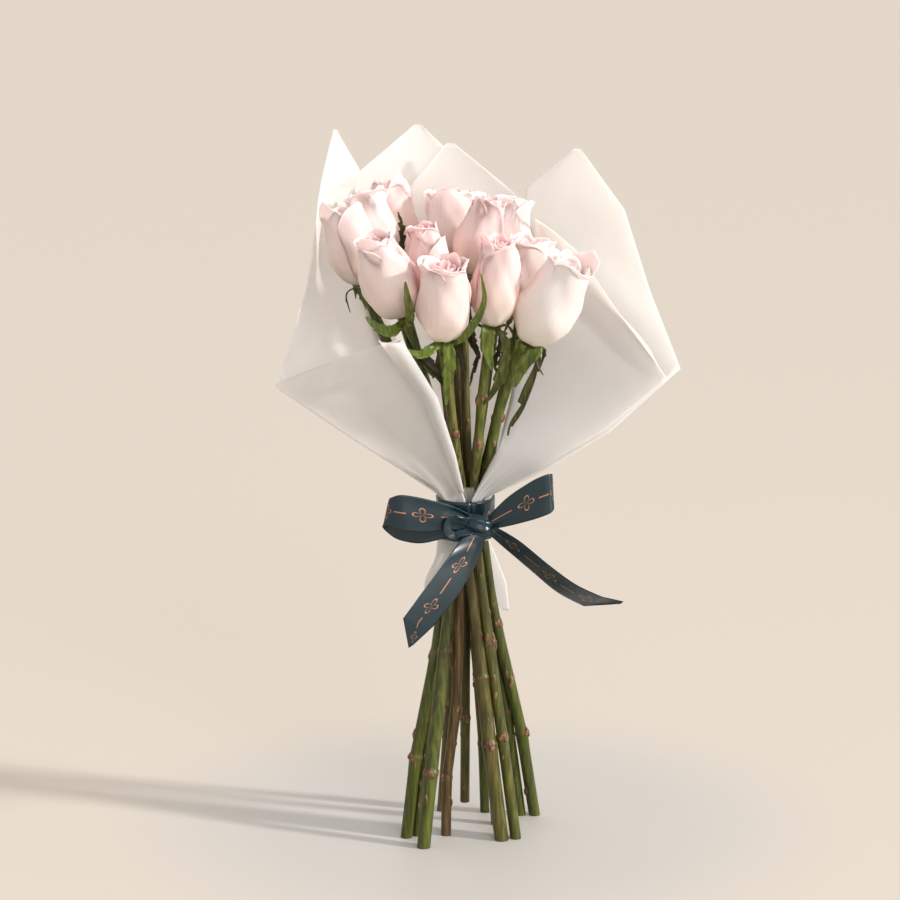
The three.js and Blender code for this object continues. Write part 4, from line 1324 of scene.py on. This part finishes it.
# %% Stretches of the ribbon
RIBBON_STRETCHES = {
    "left_loop": [
        ((-2, -23, 200), (-1, -24, 210)), ((-14, -27.5, 202.5), (-13.7, -28, 217.5)),
        ((-29, -32, 202), (-29.6, -32, 223)),
        ((-43, -34.5, 203.5), (-43.6, -34, 226)), ((-52, -33, 205), (-50, -33.5, 226)),
        ((-57, -29.5, 202.5), (-52.5, -30, 225)),
        ((-52.5, -25.5, 197.5), (-50, -25.5, 222)), ((-45, -24.2, 194.5), (-44, -24, 218)),
        ((-33, -23, 192.8), (-33, -22.8, 216)),
        ((-18, -22.2, 196), (-17, -22, 214)), ((-2, -22, 200), (-2, -21.5, 210))],
    "right_loop": [
        ((8, -22.5, 201), (8, -23, 210)), ((22, -27, 205), (20, -27, 223)),
        ((34, -30.5, 209), (33, -30.5, 233)),
        ((43.5, -31, 212.5), (41.5, -31, 237.5)), ((47.6, -29, 214), (46.2, -29, 239)),
        ((47.6, -25.5, 214.5), (46.4, -25.5, 239)), ((40, -22, 212), (38, -22, 233)),
        ((26, -20, 208), (24, -20, 224)), ((9, -21, 202), (9, -21, 210))],
    "curl": [
        ((3, -24, 199.5), (3, -22, 204)), ((-8.6, -31, 199.2), (-10.4, -29, 202.2)),
        ((-12.5, -31.6, 197.4), (-12.5, -29.3, 201.6)), ((-17.4, -31.8, 199.4), (-14.2, -29.3, 202.6)),
        ((-19.5, -31.8, 205), (-15, -29.3, 205)), ((-17.4, -31.8, 210.6), (-14.2, -29.3, 207.4)),
        ((-12.5, -31.6, 212.6), (-12.5, -29.3, 208.4)), ((-8.6, -31, 210.8), (-10.4, -29, 207.8)),
        ((3, -24, 209), (3, -22, 205))],
    "left_tail": [
        ((-6, -25.5, 200), (7, -24.5, 199)), ((-20, -41.5, 183.5), (2, -24.5, 182.5)),
        ((-33, -50.5, 168), (-12, -33.5, 161)),
        ((-44, -56, 154), (-26, -39, 144)), ((-41, -41, 131), (-38, -41, 133))],
    "right_tail": [
        ((7, -23.5, 200), (12, -24.5, 204)), ((20, -22, 188), (27, -38, 198)),
        ((35, -24.5, 175.5), (46, -48.5, 184.5)),
        ((51, -30.5, 163.5), (61, -53.5, 174.5)), ((67, -33.5, 155.5), (77, -56, 167.5)),
        ((88, -57.5, 163.5), (90, -57.5, 165))],
}
print(len(RIBBON_STRETCHES), "stretches")

# %% [markdown]
# The form of a stretch follows its pairs. Where the ribbon is gathered to less than its
# width it has deep folds, a loop is rounded where it turns back, and slight creases cross
# all of it. The band is a ring with the same slight creases.

# %% The form of the ribbon
RIBBON_WIDTH = 25
FOLD_DEPTH = 1.7
CREASE_DEPTH = 0.45
FOLD_ROUND = 2.4
FOLD_REACH = 0.12
BAND_RADIUS = 17.95
BAND_START = -80


def ribbon_form(name):
    edges = np.array(RIBBON_STRETCHES[name], float)
    steps = len(edges) - 1
    cut = name.endswith("tail")
    fold_at = np.argmax(np.abs(edges[:, :, 0].mean(axis=1) - TIE_CENTRE[0])) / steps

    def form(across, along):
        if cut:
            curved = along_rows(edges[:-1], np.minimum(along * steps / (steps - 1), 1))
            past = np.clip(along * steps - (steps - 1), 0, 1)[:, None, None]
            curved = curved + past * (edges[-1] - edges[-2])
        else:
            curved = along_rows(edges, along)
        side = across[:, None]
        placed = curved[:, 0] * (1 - side) + curved[:, 1] * side + BUNCH_SHIFT
        lengths = 9 * steps * along
        crease = np.sin(lengths / 7.5 + 2.4 * across + steps) + 0.5 * np.sin(lengths / 3.1 - 3 * across)
        placed[:, 1] -= CREASE_DEPTH * crease * smoothstep(along * 6) * smoothstep((1 - along) * 6)
        if name.endswith("loop"):
            width = np.linalg.norm(curved[:, 1] - curved[:, 0], axis=1)
            gathered = np.clip(1 - width / RIBBON_WIDTH, 0, 1)
            placed[:, 1] += FOLD_DEPTH * gathered * np.sin(3 * math.pi * across + 0.6)
            rounded = FOLD_ROUND * np.exp(-((along - fold_at) / FOLD_REACH) ** 2)
            placed[:, 2] -= rounded * (2 * across - 1) ** 3
        return placed
    return form


def band_form(across, along):
    angle = 2 * math.pi * along + math.radians(BAND_START)
    radius = BAND_RADIUS + 0.3 * np.sin(2 * math.pi * across + 9 * angle) + 0.15 * np.sin(31 * angle)
    level = TIE_Z - BAND_HEIGHT / 2 + BAND_HEIGHT * (1 - across)
    return round_axis(radius, angle, level) + TIE_AXIS + BUNCH_SHIFT


print("the band is", 2 * BAND_RADIUS, "mm wide")

# %% [markdown]
# The knot is the ribbon drawn once more over the middle of the bow. It is a grid bent
# round from left to right, with a few creases along it, and it leans down to the right.

# %% The form of the knot
KNOT_PLACE = np.array([2.0, -21.5, 204.5])
KNOT_HALF_WIDTH = 9.0
KNOT_HALF_HEIGHT = 6.6
KNOT_DEPTH = 6.5
KNOT_LEAN = 0.24
KNOT_BEND = 130


def knot_form(across, along):
    side = 2 * across - 1
    bend = np.radians(KNOT_BEND) * (2 * along - 1)
    crease = 0.55 * np.cos(2.3 * math.pi * side + 2.4 * along + 0.5) * np.cos(bend / 2)
    depth = KNOT_DEPTH * (1 - 0.5 * side ** 2) * np.cos(bend) + crease
    beside = KNOT_HALF_WIDTH * np.sin(bend)
    level = KNOT_HALF_HEIGHT * side * (1 - 0.28 * np.sin(bend) ** 2) - KNOT_LEAN * beside
    return np.stack([beside, -depth, level], axis=-1) + KNOT_PLACE + BUNCH_SHIFT


print("the knot is", 2 * KNOT_HALF_WIDTH, "mm wide")

# %% [markdown]
# ## Ribbon finish
#
# Satin is dark where it turns away and has narrow bright streaks where its threads face the
# light, which a low roughness with some anisotropy gives. A copper print repeats along
# it: a four-petalled flower drawn in line, and a dash between two of them. Two attributes
# hold the place on the ribbon in millimetres, so a few math nodes can draw it.


# %% Ribbon finish
MOTIF_STEP = 27
PETAL_REACH = 4.8
PRINT_LINE = 0.36
DASH_FROM = 8.5
SATIN_TONE = (0.006, 0.022, 0.032)
COPPER_TONE = (0.55, 0.25, 0.13)
ribbon_finish, ribbon_shader = start_material(
    "ribbon_satin", Roughness=0.27, Sheen_Weight=0.02, Sheen_Roughness=0.3, Specular_IOR_Level=0.45,
    Anisotropic=0.8, Anisotropic_Rotation=0.25)


def calculate(operation, first, second=0.0):
    node = add_node(ribbon_finish, "ShaderNodeMath", operation=operation)
    for socket, value in zip(node.inputs, (first, second)):
        if hasattr(value, "links"):
            link(ribbon_finish, value, socket)
        else:
            socket.default_value = value
    return node.outputs["Value"]


run = point_share(ribbon_finish, "run")
aside = point_share(ribbon_finish, "aside")
ahead = calculate("SUBTRACT", calculate("MODULO", run, MOTIF_STEP), MOTIF_STEP / 2)
off_ahead = calculate("ABSOLUTE", ahead)
off_aside = calculate("ABSOLUTE", aside)
squares = calculate("ADD", calculate("POWER", off_ahead, 2.0), calculate("POWER", off_aside, 2.0))
reach = calculate("SQRT", squares)
turn_angle = calculate("ARCTAN2", aside, ahead)
lobes = calculate("ABSOLUTE", calculate("COSINE", calculate("MULTIPLY", turn_angle, 2.0)))
off_petal = calculate("ABSOLUTE", calculate("SUBTRACT", reach, calculate("MULTIPLY", lobes, PETAL_REACH)))
flower = calculate("LESS_THAN", off_petal, PRINT_LINE)
on_middle = calculate("LESS_THAN", off_aside, PRINT_LINE)
dash = calculate("MULTIPLY", on_middle, calculate("GREATER_THAN", off_ahead, DASH_FROM))
printed = calculate("MAXIMUM", flower, dash)
ribbon_threads = noise(ribbon_finish, object_place(ribbon_finish, (1, 1, 0.2)), 2600, 2.0)
ribbon_tone = mix(ribbon_finish, printed, SATIN_TONE, COPPER_TONE)
link(ribbon_finish, ribbon_tone, ribbon_shader.inputs["Base Color"])
link(ribbon_finish, calculate("MULTIPLY", printed, 0.6), ribbon_shader.inputs["Metallic"])
bump(ribbon_finish, ribbon_shader, ribbon_threads, 0.0001, 0.25)
print(ribbon_finish.name, len(ribbon_finish.node_tree.nodes), "nodes")

# %% [markdown]
# ## Bow
#
# Each stretch is a grid of its own, and all are joined to one piece. A stretch also marks
# its points with how far they lie along the ribbon and to the side of its middle. The knot
# and the curl are bare, since the print hardly shows there: all their points are said to
# lie half a width to the side.

# %% Model the ribbon
PRINT_STARTS = {"left_loop": -12, "right_loop": -8, "curl": 12, "left_tail": -9, "right_tail": -6}
RIBBON_THICKNESS = 0.35
MIDDLE_POINTS = 60


def ribbon_sheet(across, along, form, print_from, bare=False):
    strip = shaped_grid(across, along, form)
    middle = form(np.full(MIDDLE_POINTS, 0.5), np.linspace(0, 1, MIDDLE_POINTS))
    length = np.linalg.norm(np.diff(middle, axis=0), axis=1).sum()
    uv = {}
    for loop in strip.data.loops:
        uv[loop.vertex_index] = strip.data.uv_layers.active.data[loop.index].uv
    shares = np.array([tuple(uv[index]) for index in range(len(strip.data.vertices))])
    mark_points(strip, "run", print_from + length * shares[:, 1])
    from_middle = np.full(len(shares), 0.5) if bare else shares[:, 0] - 0.5
    mark_points(strip, "aside", RIBBON_WIDTH * from_middle)
    return strip


parts = [ribbon_sheet(10, 60, band_form, 0), ribbon_sheet(40, 36, knot_form, 0, bare=True)]
for name, pairs in RIBBON_STRETCHES.items():
    steps = 10 * (len(pairs) - 1)
    start = PRINT_STARTS[name] + 2 * MOTIF_STEP
    parts.append(ribbon_sheet(20, steps, ribbon_form(name), start, bare=name == "curl"))
ribbon = join_pieces(parts, "ribbon_bow")
apply_modifier(ribbon, "SOLIDIFY", thickness=RIBBON_THICKNESS * MM, offset=0)
dress(ribbon, ribbon_finish, "satin_ribbon")
